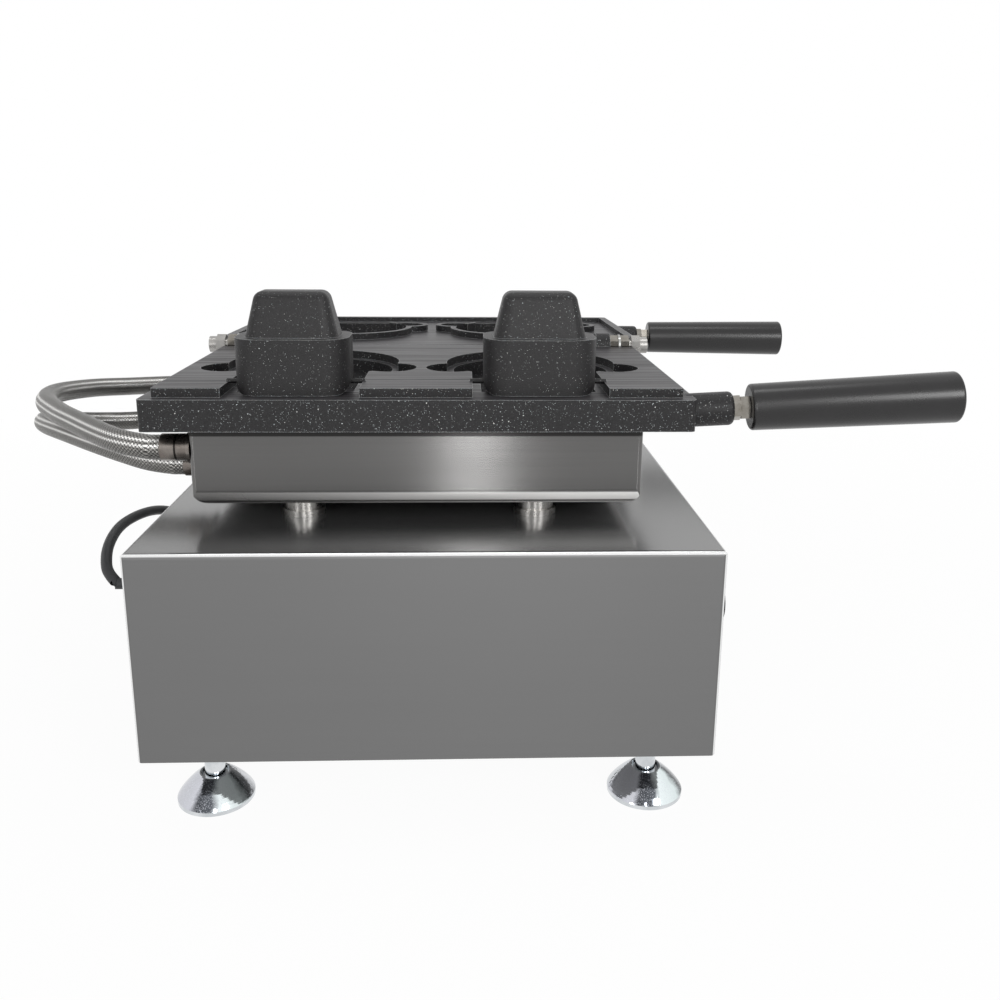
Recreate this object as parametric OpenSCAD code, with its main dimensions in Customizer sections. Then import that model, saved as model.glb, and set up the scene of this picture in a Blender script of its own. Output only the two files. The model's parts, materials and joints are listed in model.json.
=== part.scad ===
// Two-cavity open-mouth waffle maker. A sheet steel housing carries a cast lower mould plate,
// and a cast lid plate hinges at its back edge. The lid stands open by half a turn.
// Lengths are millimetres. x runs along the plates towards the handles, y runs away from the
// blank front wall, and z is up from the floor.

/* [Housing] */
// Length of the housing along the plates
housing_w = 336; // [326:1:380]
// Depth of the housing from front wall to back wall
housing_d = 340; // [320:1:400]
// Height of the housing walls
housing_h = 127; // [122:1:170]
// Thickness of the folded sheet
sheet_t = 1.5; // [1:0.1:2.5]
// Outside radius of the housing's folds
fold_r = 3; // [2.6:0.1:6]
// Thickness of the bottom tray
tray_t = 1.2; // [1:0.1:2]

/* [Feet] */
// Height of the housing's bottom edge above the floor
foot_h = 46.5; // [36:0.5:60]
// Diameter of a foot pad
pad_d = 47; // [42:1:56]
// Height of a foot pad's bell
pad_h = 17; // [14:0.5:20]
// Diameter of a foot stud
stud_d = 12.5; // [8:0.5:14]
// Distance of a foot from the housing's end walls
foot_inset_x = 33.3; // [30:0.1:60]
// Distance of a foot from the front and back walls
foot_inset_y = 39; // [30:1:46]

/* [Mould plates] */
// Length of a mould plate
plate_w = 318.5; // [312:0.5:340]
// Shift of the plates' middle from the housing's middle
plate_shift = -5; // [-10:0.5:6]
// Distance of the lower plate's front face behind the housing's front wall
plate_setback = 36; // [20:1:50]
// Distance from the plate's front face to the hinge axis
plate_reach = 190; // [188:1:210]
// Thickness of the plate's flange
flange_t = 18.7; // [17:0.1:22]
// Height of the raised table above the flange
table_h = 5.5; // [4.8:0.1:6.5]
// Width of the ledge around the table
ledge_w = 6.8; // [5:0.1:9]
// Corner radius of a plate
plate_corner_r = 3; // [2:0.5:10]
// Gap between the closed lid and the lower plate
lid_gap = 0.3; // [0.2:0.05:0.6]
// Height of the lid's rim, which hangs over the lower plate's ledge
rim_h = 4; // [2:0.1:4.2]
// Side clearance of the lid's rim and collars
rim_clear = 0.5; // [0.4:0.05:0.8]

/* [Cavities] */
// Distance between the middles of the two cavities
cavity_pitch = 144; // [140:0.5:146]
// Shift of the cavities' and pans' middle from the plates' middle
cavity_shift = -2.1; // [-4:0.1:2]
// Distance of a cavity's middle behind the plate's front face
cavity_setback = 106; // [104:0.5:110]
// Radius of the baking hollow
cavity_r = 51.5; // [49:0.5:53]
// Depth of the baking hollow in one plate
cavity_depth = 26; // [24.5:0.5:28]
// Radius of the hollow's bottom edge
hollow_edge_r = 12; // [6:0.5:16]
// Width of the step around the hollow
step_w = 4.5; // [3:0.1:5]
// Distance of an ear's middle sideways from the cavity's middle
ear_x = 51.5; // [50:0.5:53]
// Distance of an ear's middle in front of the cavity's middle
ear_y = 23; // [20:0.5:26]
// Radius of an ear's hollow
ear_r = 13; // [10:0.5:13.5]
// Depth of an ear's hollow
ear_depth = 16; // [10:0.5:18]
// Wall of the cup under a hollow
cup_wall = 6; // [5:0.5:8]

/* [Cores] */
// Width of a core, which keeps the mouth of a waffle open
core_w = 66; // [60:0.5:68]
// Thickness of a core
core_t = 45; // [40:0.5:46]
// Height of a core's body when it stands
core_h = 32.5; // [29:0.5:34]
// Corner radius of a core's section
core_corner_r = 15; // [12:0.5:18]
// Radius of a core's lower edges at its two sides
core_base_r = 7; // [2:0.5:10]
// Height of the tapered nose above the body
nose_h = 26; // [16:0.5:30]
// Width of the shoulder around the nose
shoulder_w = 6; // [5:0.5:8]
// Narrowing of the nose at its tip, on each side
nose_taper = 5; // [3:0.5:6]
// Radius of the nose's tip
nose_r = 6; // [4:0.5:6]
// Distance of a core's swing axis behind the plate's front face
core_setback = 31.6; // [31:0.1:33]
// Width of the channel that a core stands in
channel_w = 79; // [76:0.5:82]
// Diameter of the pin that a core swings on
core_pin_d = 3; // [3:0.2:6.6]
// Length of the pin that lies in its notch beside the channel
core_pin_seat = 1.5; // [1.5:0.5:12]
// Clearance around a core in its recess
core_clear = 0.6; // [0.4:0.1:1]

/* [Pans] */
// Length of a pan along the plates
pan_w = 270; // [262:0.5:276]
// Distance of a pan's front and back walls from the plate's front face and hinge
pan_setback = 20; // [16:0.5:21]
// Height of a pan
pan_h = 51; // [46:0.5:60]
// Outside radius of a pan's bottom edges
pan_edge_r = 11; // [6:0.5:14]
// Outside radius of a pan's upright edges
pan_corner_r = 3; // [2.4:0.1:10]
// Thickness of a pan's sheet
pan_t = 1.2; // [1:0.1:2]
// Gap between the lower pan and the housing
standoff_h = 9.2; // [6:0.1:16]
// Diameter of a standoff's upper ring
standoff_d = 23; // [18:0.5:28]
// Diameter of the studs that hold a pan to its plate
pan_stud_d = 6; // [5:0.5:8]
// Thickness of the insulation pad in a pan
insulation_t = 18; // [10:1:24]
// Diameter of a heating rod
heater_d = 8; // [6:0.5:10]
// Diameter of a temperature bulb
bulb_d = 6; // [4:0.5:8]

/* [Hinge] */
// Angle of the standing-open lid from closed
open_deg = 181; // [176:0.5:181.5]
// Outer radius of a hinge lug
lug_r = 9; // [8:0.5:9.5]
// Width of a hinge lug
lug_w = 10.4; // [8:0.2:12]
// Distance of the outer hinge lug from the plate's end
lug_inset = 23.8; // [22:0.2:30]
// Diameter of a hinge bolt
hinge_d = 8; // [6:0.5:9]
// Width of the hinge nuts across flats
hinge_af = 13; // [12:0.5:14]
// Running clearance on the radius of a pin in its bore
pin_clear = 0.05; // [0.02:0.01:0.09]

/* [Handles] */
// Distance of the lower handle behind the plate's front face
handle_setback = 17.5; // [15:0.5:22]
// Extra setback of the lid's handle, so that closed handles lie side by side
handle_stagger = 14; // [13:0.5:18]
// Height of the lid's handle above the mating face when closed
lid_handle_rise = 11.2; // [10.8:0.1:13]
// Length of the cast boss that a handle screws into
boss_len = 25; // [20:1:36]
// Diameter of the cast boss
boss_d = 20; // [18:0.5:21]
// Length of a grip
grip_len = 121; // [100:1:140]
// Radius of a grip at the plate end
grip_r0 = 13.8; // [11:0.1:14]
// Radius of a grip at the free end
grip_r1 = 15.1; // [12:0.1:15.5]
// Diameter of a handle rod
rod_d = 8; // [6:0.5:9]
// Width of a handle's nuts across flats
nut_af = 13; // [12:0.5:16]
// Upward tilt of the lower grip
grip_pitch = 3.6; // [2:0.1:4]
// Turn of the lower grip towards the front
grip_yaw = 3.2; // [2:0.1:6]
// Turn of the lid's grip towards the hinge when closed
lid_grip_yaw = 2.5; // [2:0.1:6]

/* [Hoses] */
// Outer diameter of a braided hose
hose_d = 15; // [10:0.5:15.5]
// Diameter of a hose ferrule
ferrule_d = 16.5; // [16:0.5:17.5]
// Length of a hose ferrule outside its flange
ferrule_len = 16; // [10:0.5:18]

/* [Controls] */
// Height of the knobs' middles above the housing's bottom edge
control_rise = 58; // [50:1:70]
// Distance of the first knob behind the front wall
control_inset = 96; // [80:1:120]
// Height of the lamps above the knobs
lamp_rise = 38; // [32:1:42]
// Distance of the switch behind the second knob
switch_pitch = 58; // [50:1:66]
// Reach of the control panel in front of the first knob
panel_front_margin = 48; // [36:1:60]
// Reach of the control panel behind the switch
panel_back_margin = 42; // [30:1:50]
// Height of the control panel's bottom edge above the housing's bottom edge
panel_rise = 14; // [8:1:20]
// Reach of the control panel above the lamps
panel_top_margin = 24; // [16:1:26]
// Thickness of the control panel
panel_t = 1.5; // [1:0.1:3]
// Distance between the middles of two knobs
control_pitch = 62; // [58:1:68]
// Diameter of a knob's skirt
knob_d = 40; // [30:1:46]
// Height of a knob
knob_h = 20; // [14:1:26]
// Diameter of a control shaft
shaft_d = 6; // [5:0.5:7]
// Diameter of an indicator lamp
lamp_d = 10; // [8:0.5:12]
// Height of the switch's opening
rocker_h = 21; // [18:0.5:24]
// Width of the switch's opening
rocker_w = 27; // [24:0.5:30]

/* [Mains cord] */
// Diameter of the mains cord
cord_d = 7.2; // [6:0.1:7.3]
// Number of turns in the lower layer of the stored coil
coil_turns = 2; // [1:1:3]
// Inner radius of the stored coil, to the cord's middle
coil_r = 32; // [30:1:36]
// Step between two turns of the coil
coil_pitch = 8; // [7.9:0.1:9]

/* [Hidden] */

// Facets of round shapes
round_fn = 96;
small_fn = 40;
hull_fn = 32;
// Overlap that joins two shapes of one piece
eps = 0.01;
// Clearance on the radius between a thread and its nut, hole or rod
thread_gap = 0.05;
// Clearance on the radius of a screw or stud in a plain hole
hole_clear = 0.2;

// Heights, from the floor up
housing_top = foot_h + housing_h;
pan_bottom = housing_top + standoff_h;
flange_bottom = pan_bottom + pan_h;
ledge_z = flange_bottom + flange_t;
mate_z = ledge_z + table_h;
axis_z = mate_z + lid_gap / 2;
plate_t = flange_t + table_h;

// A handle's fittings, from the end of its boss outwards
handle_nut_h = [4.2, 5.2];
grip_gap = 0.4;
grip_start = handle_nut_h[0] + handle_nut_h[1] + grip_gap;
rod_in_boss = 18;
rod_in_grip = 34;
grip_bead = 1.8;

// How far the lower grip's tip reaches from the housing's middle
grip_cos = cos(grip_pitch) * cos(grip_yaw);
grip_sin = sqrt(1 - grip_cos * grip_cos);
right_reach = plate_shift + plate_w / 2 + (boss_len + grip_start + grip_len - grip_bead) * grip_cos
  + (grip_r1 - grip_bead) * grip_sin + grip_bead;

// The hoses' middle lines, from the housing's middle and front edge, chosen along their real route
hose_r = hose_d / 2;
hose_sides = 12;
ferrule_flange = 2;
ferrule_x = plate_shift + cavity_shift - pan_w / 2;
ferrule_end = ferrule_x - ferrule_flange - ferrule_len;
// Places of the ferrules on their pan, as distance behind the plate's front face and depth below
// the mating face
upper_ferrule = [30, 40];
upper_lid_ferrule = [30, 55];
lower_ferrule = [76, 62];
lower_lid_ferrule = [76, 62];
upper_hose_points = [
  [-192, 84, 219], [-221, 110, 220], [-254, 150, 221], [-281, 195, 220], [-294, 245, 217],
  [-286, 295, 212], [-264, 326, 208], [-236, 352, 205], [-202, 374, 202]
];
lower_hose_points = [
  [-203, 127, 200], [-228, 146, 202], [-259, 175, 202], [-288, 210, 200], [-302, 240, 196],
  [-299, 268, 190], [-282, 295, 184], [-257, 313, 181], [-226, 328, 182], [-200, 336, 186]
];
function opened(y, z) =
  let (dy = y - plate_reach - plate_setback, dz = z - axis_z)
    [plate_setback + plate_reach + dy * cos(open_deg) + dz * sin(open_deg),
     axis_z - dy * sin(open_deg) + dz * cos(open_deg)];
function lower_hose_end(f) = [ferrule_end, plate_setback + f[0], mate_z - f[1]];
function lid_hose_end(f) =
  let (p = opened(plate_setback + f[0], 2 * axis_z - mate_z + f[1])) [ferrule_end, p[0], p[1]];
upper_hose_line = hose_line(lower_hose_end(upper_ferrule), upper_hose_points,
                            lid_hose_end(upper_lid_ferrule));
lower_hose_line = hose_line(lower_hose_end(lower_ferrule), lower_hose_points,
                            lid_hose_end(lower_lid_ferrule));
left_reach = hose_r - min([for (p = concat(upper_hose_line, lower_hose_line)) p[0]]);

// Place of the housing's middle and front wall, so that the object's middle is at x = 0, y = 0
mid_x = (left_reach - right_reach) / 2;
front_y = -(plate_setback + 2 * plate_reach) / 2;

// Places along the length
housing_x0 = mid_x - housing_w / 2;
housing_x1 = mid_x + housing_w / 2;
plate_mid = mid_x + plate_shift;
plate_x0 = plate_mid - plate_w / 2;
plate_x1 = plate_mid + plate_w / 2;
cavity_mid = plate_mid + cavity_shift;
cavity_xs = [cavity_mid - cavity_pitch / 2, cavity_mid + cavity_pitch / 2];
pan_x0 = cavity_mid - pan_w / 2;
pan_x1 = cavity_mid + pan_w / 2;

// Places along the depth
housing_y1 = front_y + housing_d;
plate_y0 = front_y + plate_setback;
hinge_y = plate_y0 + plate_reach;
cavity_y = plate_y0 + cavity_setback;
core_y = plate_y0 + core_setback;
pan_y0 = plate_y0 + pan_setback;
pan_y1 = hinge_y - pan_setback;
stud_ys = [pan_y0 + 22, pan_y1 - 27];
handle_y = plate_y0 + handle_setback;
lid_handle_y = handle_y + handle_stagger;
handle_z = flange_bottom + flange_t / 2;
lid_handle_z = mate_z + lid_handle_rise;

// Gap between the plates' back edges when the lid stands open
hinge_seam = 1;
// Space around the hinge hardware
notch_r = lug_r + 0.7;
// Gap under a standing core
core_rest_gap = 0.3;
core_pin_r = core_pin_d / 2;
// Depth of the recess that a core swings into, below the mating face
recess_depth = norm([core_t / 2, table_h - core_rest_gap]) + core_clear;
recess_grow = recess_depth - core_t / 2;
// Extra length of the lid's recess, which lets a core swing clear as the lid closes
lid_recess_relief = 3.6;
cup_depth = cavity_depth + cup_wall;
cup_z = mate_z - cup_depth;
pan_stud_r = pan_stud_d / 2;
pan_stud_seat = 4;
pan_nut_h = 5;
pan_nut_af = 10;

// Hinge hardware along the axis, measured from the plates' middle
hinge_play = 0.35;
hinge_head_h = 5.4;
hinge_washer_t = 1.6;
hinge_nut_h = 6.5;
hinge_cap_gap = 2;
hinge_cap_h = 12;
lower_lug_x1 = plate_w / 2 - lug_inset;
lower_lug_x0 = lower_lug_x1 - lug_w;
lid_lug_x1 = lower_lug_x0 - hinge_play;
lid_lug_x0 = lid_lug_x1 - lug_w;
washer_x0 = lid_lug_x0 - hinge_play - hinge_washer_t;
head_x0 = washer_x0 - hinge_head_h;
outer_washer_x0 = lower_lug_x1 + hinge_nut_h;
outer_nut_x0 = outer_washer_x0 + hinge_washer_t;
cap_x0 = outer_nut_x0 + hinge_nut_h + hinge_cap_gap;
hinge_bolt_x1 = cap_x0 + hinge_cap_h - 2;

// Controls on the right end wall
control_z = foot_h + control_rise;
lamp_z = control_z + lamp_rise;
thermostat_y = front_y + control_inset;
timer_y = thermostat_y + control_pitch;
switch_y = timer_y + switch_pitch;
control_back = housing_x1 - sheet_t;
panel_face = housing_x1 + panel_t;
panel_screw_r = 2;
bush_r = 5;
bush_len = 2;
knob_gap = 0.6;
lamp_r = lamp_d / 2;
shaft_in_body = 11;
tray_screw_r = 1.5;

// Cord gland on the left end wall, and the cord's route from the housing's middle and front edge
gland_thread_r = 6;
gland_flange_t = 4;
gland_relief_len = 24;
cord_r = cord_d / 2;
cord_sides = 8;
cord_points = [
  [-204, 89, 123], [-212, 98, 128], [-219, 120, 134], [-223, 150, 137], [-223, 180, 136],
  [-219, 215, 131], [-213, 250, 119], [-206, 286, 96], [-199, 320, 66], [-190, 348, 36],
  [-180, 368, 14]
];
gland_place = [-housing_w / 2, 88, 122];
coil_centre = [-122, 398];

// The coil spirals in on the floor, climbs a layer in half a turn and spirals out again
coil_rings = 24;
coil_sides = 6;
coil_climb = 0.5;
coil_out_turns = coil_turns - 0.25;
coil_total = coil_turns + coil_climb + coil_out_turns;
coil_layer = cord_d + 0.6;
coil_z = cord_r + 0.2;
coil_tail = 22;
function coil_point(turn) =
  let (
    c = min(max(turn - coil_turns, 0), coil_climb),
    share = c / coil_climb,
    inwards = min(turn, coil_turns),
    outwards = max(turn - coil_turns - coil_climb, 0),
    r = coil_r + coil_pitch * (coil_turns - inwards + outwards - c * (1 - share)),
    angle = 180 - 360 * turn
  )
  [coil_centre[0] + r * cos(angle), coil_centre[1] + r * sin(angle),
   coil_z + coil_layer * share * share * (3 - 2 * share)];
coil_turn_points = [for (i = [0 : coil_rings * coil_total]) coil_point(i / coil_rings)];
coil_first = coil_turn_points[0];
coil_last = coil_turn_points[len(coil_turn_points) - 1];
coil_start = coil_first - [0, cord_d, 0];
coil_end = coil_last + [coil_tail, 0, 0];
coil_line = concat([coil_start], coil_turn_points, [coil_last + [cord_d, 0, 0], coil_end]);
cord_start = gland_place - [gland_flange_t + gland_relief_len, 0, 0];
cord_line = concat([cord_start],
  inner_spline(concat([cord_start, cord_start - [cord_d, 0, 0]], cord_points,
                      [coil_start - [0, cord_d, 0], coil_start]), 2),
  [coil_start]);

function unit(v) = v / norm(v);

// Point on a smooth curve between points i and i + 1
function spline_point(p, i, t) =
  let (a = p[i - 1], b = p[i], c = p[i + 1], d = p[i + 2])
    0.5 * (2 * b + (c - a) * t + (2 * a - 5 * b + 4 * c - d) * t * t
           + (3 * b - a - 3 * c + d) * t * t * t);
// Smooth curve from the second point to the last but one
function inner_spline(p, steps) = concat(
  [for (i = [1 : len(p) - 3]) for (k = [0 : steps - 1]) spline_point(p, i, k / steps)],
  [p[len(p) - 2]]
);
// Middle line of a hose whose ends run straight for one diameter
function hose_line(a, mid, b) =
  let (a1 = a - [hose_d, 0, 0], b1 = b - [hose_d, 0, 0])
    concat([a], inner_spline(concat([a, a1], mid, [b1, b]), 2), [b]);
// Moves points from the housing's middle and front edge to their place
function placed(points) = [for (p = points) p + [mid_x, front_y, 0]];

function tangent(p, i) = unit(p[min(i + 1, len(p) - 1)] - p[max(i - 1, 0)]);
function square_to(n, t) = unit(n - (n * t) * t);
function side_directions(p) = [
  for (i = 0, n = square_to([0, 0, 1], tangent(p, 0));
       i < len(p);
       n = square_to(n, tangent(p, min(i + 1, len(p) - 1))), i = i + 1) n
];
// Tube of constant section along points, as one closed skin
module tube(p, r, sides) {
  ns = side_directions(p);
  rings = [
    for (i = [0 : len(p) - 1])
      let (b = cross(tangent(p, i), ns[i]))
        for (k = [0 : sides - 1])
          p[i] + r * (cos(360 * k / sides) * ns[i] + sin(360 * k / sides) * b)
  ];
  last = (len(p) - 1) * sides;
  skin = [
    for (i = [0 : len(p) - 2]) for (k = [0 : sides - 1])
      let (a = i * sides + k, b = i * sides + (k + 1) % sides)
        each [[a, a + sides, b + sides], [a, b + sides, b]]
  ];
  caps = concat(
    [for (k = [1 : sides - 2]) [0, k, k + 1]],
    [for (k = [1 : sides - 2]) [last, last + k + 1, last + k]]
  );
  polyhedron(points = rings, faces = concat(skin, caps), convexity = 10);
}

// Rectangle with round corners, from corner to corner
module round_rect(x0, y0, x1, y1, r, fn = round_fn) {
  translate([x0 + r, y0]) square([x1 - x0 - 2 * r, y1 - y0]);
  translate([x0, y0 + r]) square([x1 - x0, y1 - y0 - 2 * r]);
  for (x = [x0 + r, x1 - r]) for (y = [y0 + r, y1 - r])
    translate([x, y]) circle(r = r, $fn = fn);
}

// Box whose upright edges have the radius corner_r and whose bottom edges have the radius edge_r
module pan_form(x0, x1, y0, y1, z0, z1, corner_r, edge_r) {
  intersection() {
    translate([0, 0, z0]) linear_extrude(z1 - z0) round_rect(x0, y0, x1, y1, corner_r);
    translate([0, y1, 0]) rotate([90, 0, 0]) linear_extrude(y1 - y0)
      round_rect(x0, z0, x1, z1 + 2 * edge_r, edge_r);
    translate([x0, 0, 0]) rotate([90, 0, 90]) linear_extrude(x1 - x0)
      round_rect(y0, z0, y1, z1 + 2 * edge_r, edge_r);
  }
}

module rod_x(r, x0, x1, fn = small_fn) {
  translate([x0, 0, 0]) rotate([0, 90, 0]) cylinder(r = r, h = x1 - x0, $fn = fn);
}
module cone_x(r0, r1, x0, x1) {
  translate([x0, 0, 0]) rotate([0, 90, 0]) cylinder(r1 = r0, r2 = r1, h = x1 - x0, $fn = round_fn);
}
module hex_x(af, x0, x1) {
  translate([x0, 0, 0]) rotate([0, 90, 0]) cylinder(r = af / sqrt(3), h = x1 - x0, $fn = 6);
}
module nut_x(af, bore_r, x0, x1) {
  difference() {
    hex_x(af, x0, x1);
    rod_x(bore_r, x0 - 1, x1 + 1);
  }
}
module ring_x(r, bore_r, x0, x1) {
  difference() {
    rod_x(r, x0, x1);
    rod_x(bore_r, x0 - 1, x1 + 1);
  }
}
module rod_z(r, z0, z1, fn = small_fn) {
  translate([0, 0, z0]) cylinder(r = r, h = z1 - z0, $fn = fn);
}
module hex_z(af, z0, z1) {
  translate([0, 0, z0]) cylinder(r = af / sqrt(3), h = z1 - z0, $fn = 6);
}
module nut_z(af, bore_r, z0, z1) {
  difference() {
    hex_z(af, z0, z1);
    rod_z(bore_r, z0 - 1, z1 + 1);
  }
}
module ring_z(r, bore_r, z0, z1) {
  difference() {
    rod_z(r, z0, z1);
    rod_z(bore_r, z0 - 1, z1 + 1);
  }
}

// Puts its children at both ends of the hinge, mirrored about the plates' middle
module at_hinge_ends() {
  for (side = [0, 1]) translate([plate_mid, hinge_y, axis_z]) mirror([side, 0, 0]) children();
}
// Puts its children at the four studs of a pan
module at_pan_studs() {
  for (x = cavity_xs) for (y = stud_ys) translate([x, y, 0]) children();
}
// Turns what is drawn closed into the place where the open lid holds it
module lid_place() {
  translate([0, hinge_y, axis_z]) rotate([-open_deg, 0, 0]) translate([0, -hinge_y, -axis_z])
    children();
}
// Mirrors what is drawn for the lower plate into the closed lid
module over_mating_face() {
  translate([0, 0, 2 * axis_z]) mirror([0, 0, 1]) children();
}

// Housing

// Housing's block from z0 up to its rounded top edges, inset on all walls and the top
module housing_form(inset, z0) {
  r = max(fold_r - inset, 1);
  translate([0, 0, housing_top + z0]) mirror([0, 0, 1])
    pan_form(housing_x0 + inset, housing_x1 - inset, front_y + inset, housing_y1 - inset,
             z0 + inset, housing_top, r, r);
}

module housing_shell() {
  color("#a9a9a6") difference() {
    housing_form(0, foot_h);
    housing_form(sheet_t, foot_h - 1);
    at_pan_studs() rod_z(pan_stud_r + hole_clear, housing_top - sheet_t - 1, housing_top + 1);
    translate(gland_place + [mid_x, front_y, 0]) rod_x(gland_thread_r + hole_clear, -1, sheet_t + 1);
    control_openings(control_back - 1, housing_x1 + 1);
    at_tray_screws() rod_x(tray_screw_r + hole_clear, -sheet_t - 1, 1);
  }
}

module at_feet() {
  for (i = [0 : 3]) at_foot(i) children();
}
// Feet are counted from the front left one, along the front and then along the back
module at_foot(i) {
  x = i % 2 == 0 ? housing_x0 + foot_inset_x : housing_x1 - foot_inset_x;
  y = i < 2 ? front_y + foot_inset_y : housing_y1 - foot_inset_y;
  translate([x, y, 0]) children();
}
module at_tray_screws() {
  for (side = [0, 1]) for (share = [0.25, 0.75])
    translate([side == 0 ? housing_x0 : housing_x1, front_y + housing_d * share, foot_h + 8])
      mirror([side == 0 ? 1 : 0, 0, 0]) children();
}

tray_fit = 0.2;
tray_lip = 14;
tray_screw_len = 7;

module housing_tray() {
  x0 = housing_x0 + sheet_t + tray_fit;
  x1 = housing_x1 - sheet_t - tray_fit;
  y0 = front_y + sheet_t + tray_fit;
  y1 = housing_y1 - sheet_t - tray_fit;
  slot_w = 3;
  slot_len = 80;
  color("#9a9a98") difference() {
    translate([0, 0, foot_h]) linear_extrude(tray_lip)
      round_rect(x0, y0, x1, y1, max(fold_r - sheet_t, 1));
    translate([x0 + tray_t, y0 + tray_t, foot_h + tray_t])
      cube([x1 - x0 - 2 * tray_t, y1 - y0 - 2 * tray_t, tray_lip]);
    at_feet() rod_z(stud_d / 2 + pin_clear, foot_h - 1, foot_h + tray_t + 1);
    for (i = [-3 : 3])
      translate([mid_x + i * 22 - slot_w / 2, front_y + (housing_d - slot_len) / 2, foot_h - 1])
        cube([slot_w, slot_len, tray_t + 2]);
    at_tray_screws() rod_x(tray_screw_r + thread_gap, -tray_screw_len - 1, 0);
  }
}

module tray_screws() {
  color("#c8c8c6") at_tray_screws() {
    rod_x(tray_screw_r + 2, 0, 1.8);
    rod_x(tray_screw_r, -tray_screw_len, eps);
  }
}

pad_rim_h = 2.5;
pad_floor = 4;
// Sunken top of a pad, in which the stud's collar sits
pad_dish_h = 4;
pad_dish_r = stud_d / 2 + 2.2;
pad_neck_r = pad_dish_r + 1;
// Shape of the bell's curve, from 1 for an ellipse to 2 for a cone
pad_bulge = 1.7;
pad_steps = 10;
pad_curve = [
  for (k = [0 : pad_steps]) let (t = 90 * k / pad_steps)
    [pad_neck_r + (pad_d / 2 - pad_neck_r) * pow(cos(t), pad_bulge),
     pad_rim_h + (pad_h - pad_rim_h) * pow(sin(t), pad_bulge)]
];

module foot_pad(i) {
  color("#cfcfcd") at_foot(i) difference() {
    rotate_extrude($fn = round_fn)
      polygon(concat([[0, 0], [pad_d / 2, 0]], pad_curve, [[0, pad_h]]));
    rod_z(stud_d / 2 + thread_gap, pad_floor, pad_h + 1);
    rod_z(pad_dish_r, pad_h - pad_dish_h, pad_h + 1);
  }
}

module foot_pad_front_left() { foot_pad(0); }
module foot_pad_front_right() { foot_pad(1); }
module foot_pad_back_left() { foot_pad(2); }
module foot_pad_back_right() { foot_pad(3); }

module foot_stud(i) {
  collar_h = 2.5;
  collar_z = pad_h - pad_dish_h;
  color("#d6d6d4") at_foot(i) {
    rod_z(stud_d / 2, pad_floor, foot_h + 22);
    rod_z(stud_d / 2 + 1.2, collar_z, collar_z + collar_h);
  }
}

module foot_stud_front_left() { foot_stud(0); }
module foot_stud_front_right() { foot_stud(1); }
module foot_stud_back_left() { foot_stud(2); }
module foot_stud_back_right() { foot_stud(3); }

module foot_weld_nuts() {
  z0 = foot_h + tray_t;
  color("#b9b9b7") at_feet() nut_z(stud_d * 1.6, stud_d / 2 + pin_clear, z0, z0 + 10);
}

// Controls

module control_openings(x0, x1) {
  for (y = [thermostat_y, timer_y]) {
    translate([0, y, control_z]) rod_x(bush_r + hole_clear, x0, x1);
    translate([0, y, lamp_z]) rod_x(lamp_r + hole_clear, x0, x1);
  }
  translate([x0, switch_y - rocker_w / 2 - hole_clear, control_z - rocker_h / 2 - hole_clear])
    cube([x1 - x0, rocker_w + 2 * hole_clear, rocker_h + 2 * hole_clear]);
  at_panel_screws() rod_x(panel_screw_r + hole_clear, x0, x1);
}

panel_y0 = thermostat_y - panel_front_margin;
panel_y1 = switch_y + panel_back_margin;
panel_z0 = foot_h + panel_rise;
panel_z1 = lamp_z + panel_top_margin;
panel_screw_edge = 8;

module at_panel_screws() {
  for (y = [panel_y0 + panel_screw_edge, panel_y1 - panel_screw_edge])
    for (z = [panel_z0 + panel_screw_edge, panel_z1 - panel_screw_edge])
      translate([0, y, z]) children();
}

module control_panel() {
  color("#8f9092") difference() {
    translate([housing_x1, panel_y0, panel_z0])
      cube([panel_t, panel_y1 - panel_y0, panel_z1 - panel_z0]);
    control_openings(housing_x1 - 1, panel_face + 1);
  }
}

module panel_screws() {
  color("#cfcfcd") at_panel_screws() {
    rod_x(panel_screw_r, housing_x1 - 6, panel_face + eps);
    rod_x(panel_screw_r * 2, panel_face, panel_face + 1.8);
  }
}

control_size = 38;
thermostat_depth = 30;
timer_depth = 38;

module control_body(y, depth) {
  translate([0, y, control_z]) difference() {
    union() {
      translate([control_back - depth, -control_size / 2, -control_size / 2])
        cube([depth, control_size, control_size]);
      rod_x(bush_r, control_back - 1, panel_face + bush_len);
    }
    rod_x(shaft_d / 2 + pin_clear, control_back - shaft_in_body - 1, panel_face + bush_len + 1);
  }
}

module thermostat() { color("#d9d7d0") control_body(thermostat_y, thermostat_depth); }
module timer() { color("#c9c7c0") control_body(timer_y, timer_depth); }

module knob(y) {
  skirt_h = 3.5;
  x0 = panel_face + bush_len + knob_gap;
  color("#202022") translate([0, y, control_z]) {
    rod_x(shaft_d / 2, control_back - shaft_in_body, x0 + eps);
    rod_x(knob_d / 2, x0, x0 + skirt_h, round_fn);
    cone_x(knob_d * 0.36, knob_d * 0.33, x0 + skirt_h - eps, x0 + knob_h);
    translate([x0 + skirt_h, -knob_d * 0.05, knob_d * 0.1])
      cube([knob_h - skirt_h + 0.8, knob_d * 0.1, knob_d * 0.26]);
  }
}

module thermostat_knob() { knob(thermostat_y); }
module timer_knob() { knob(timer_y); }

rocker_pin_r = 1.5;
rocker_x = panel_face - 1;
rocker_tilt = 8;
switch_wall = 2;
switch_depth = 20;

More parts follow.
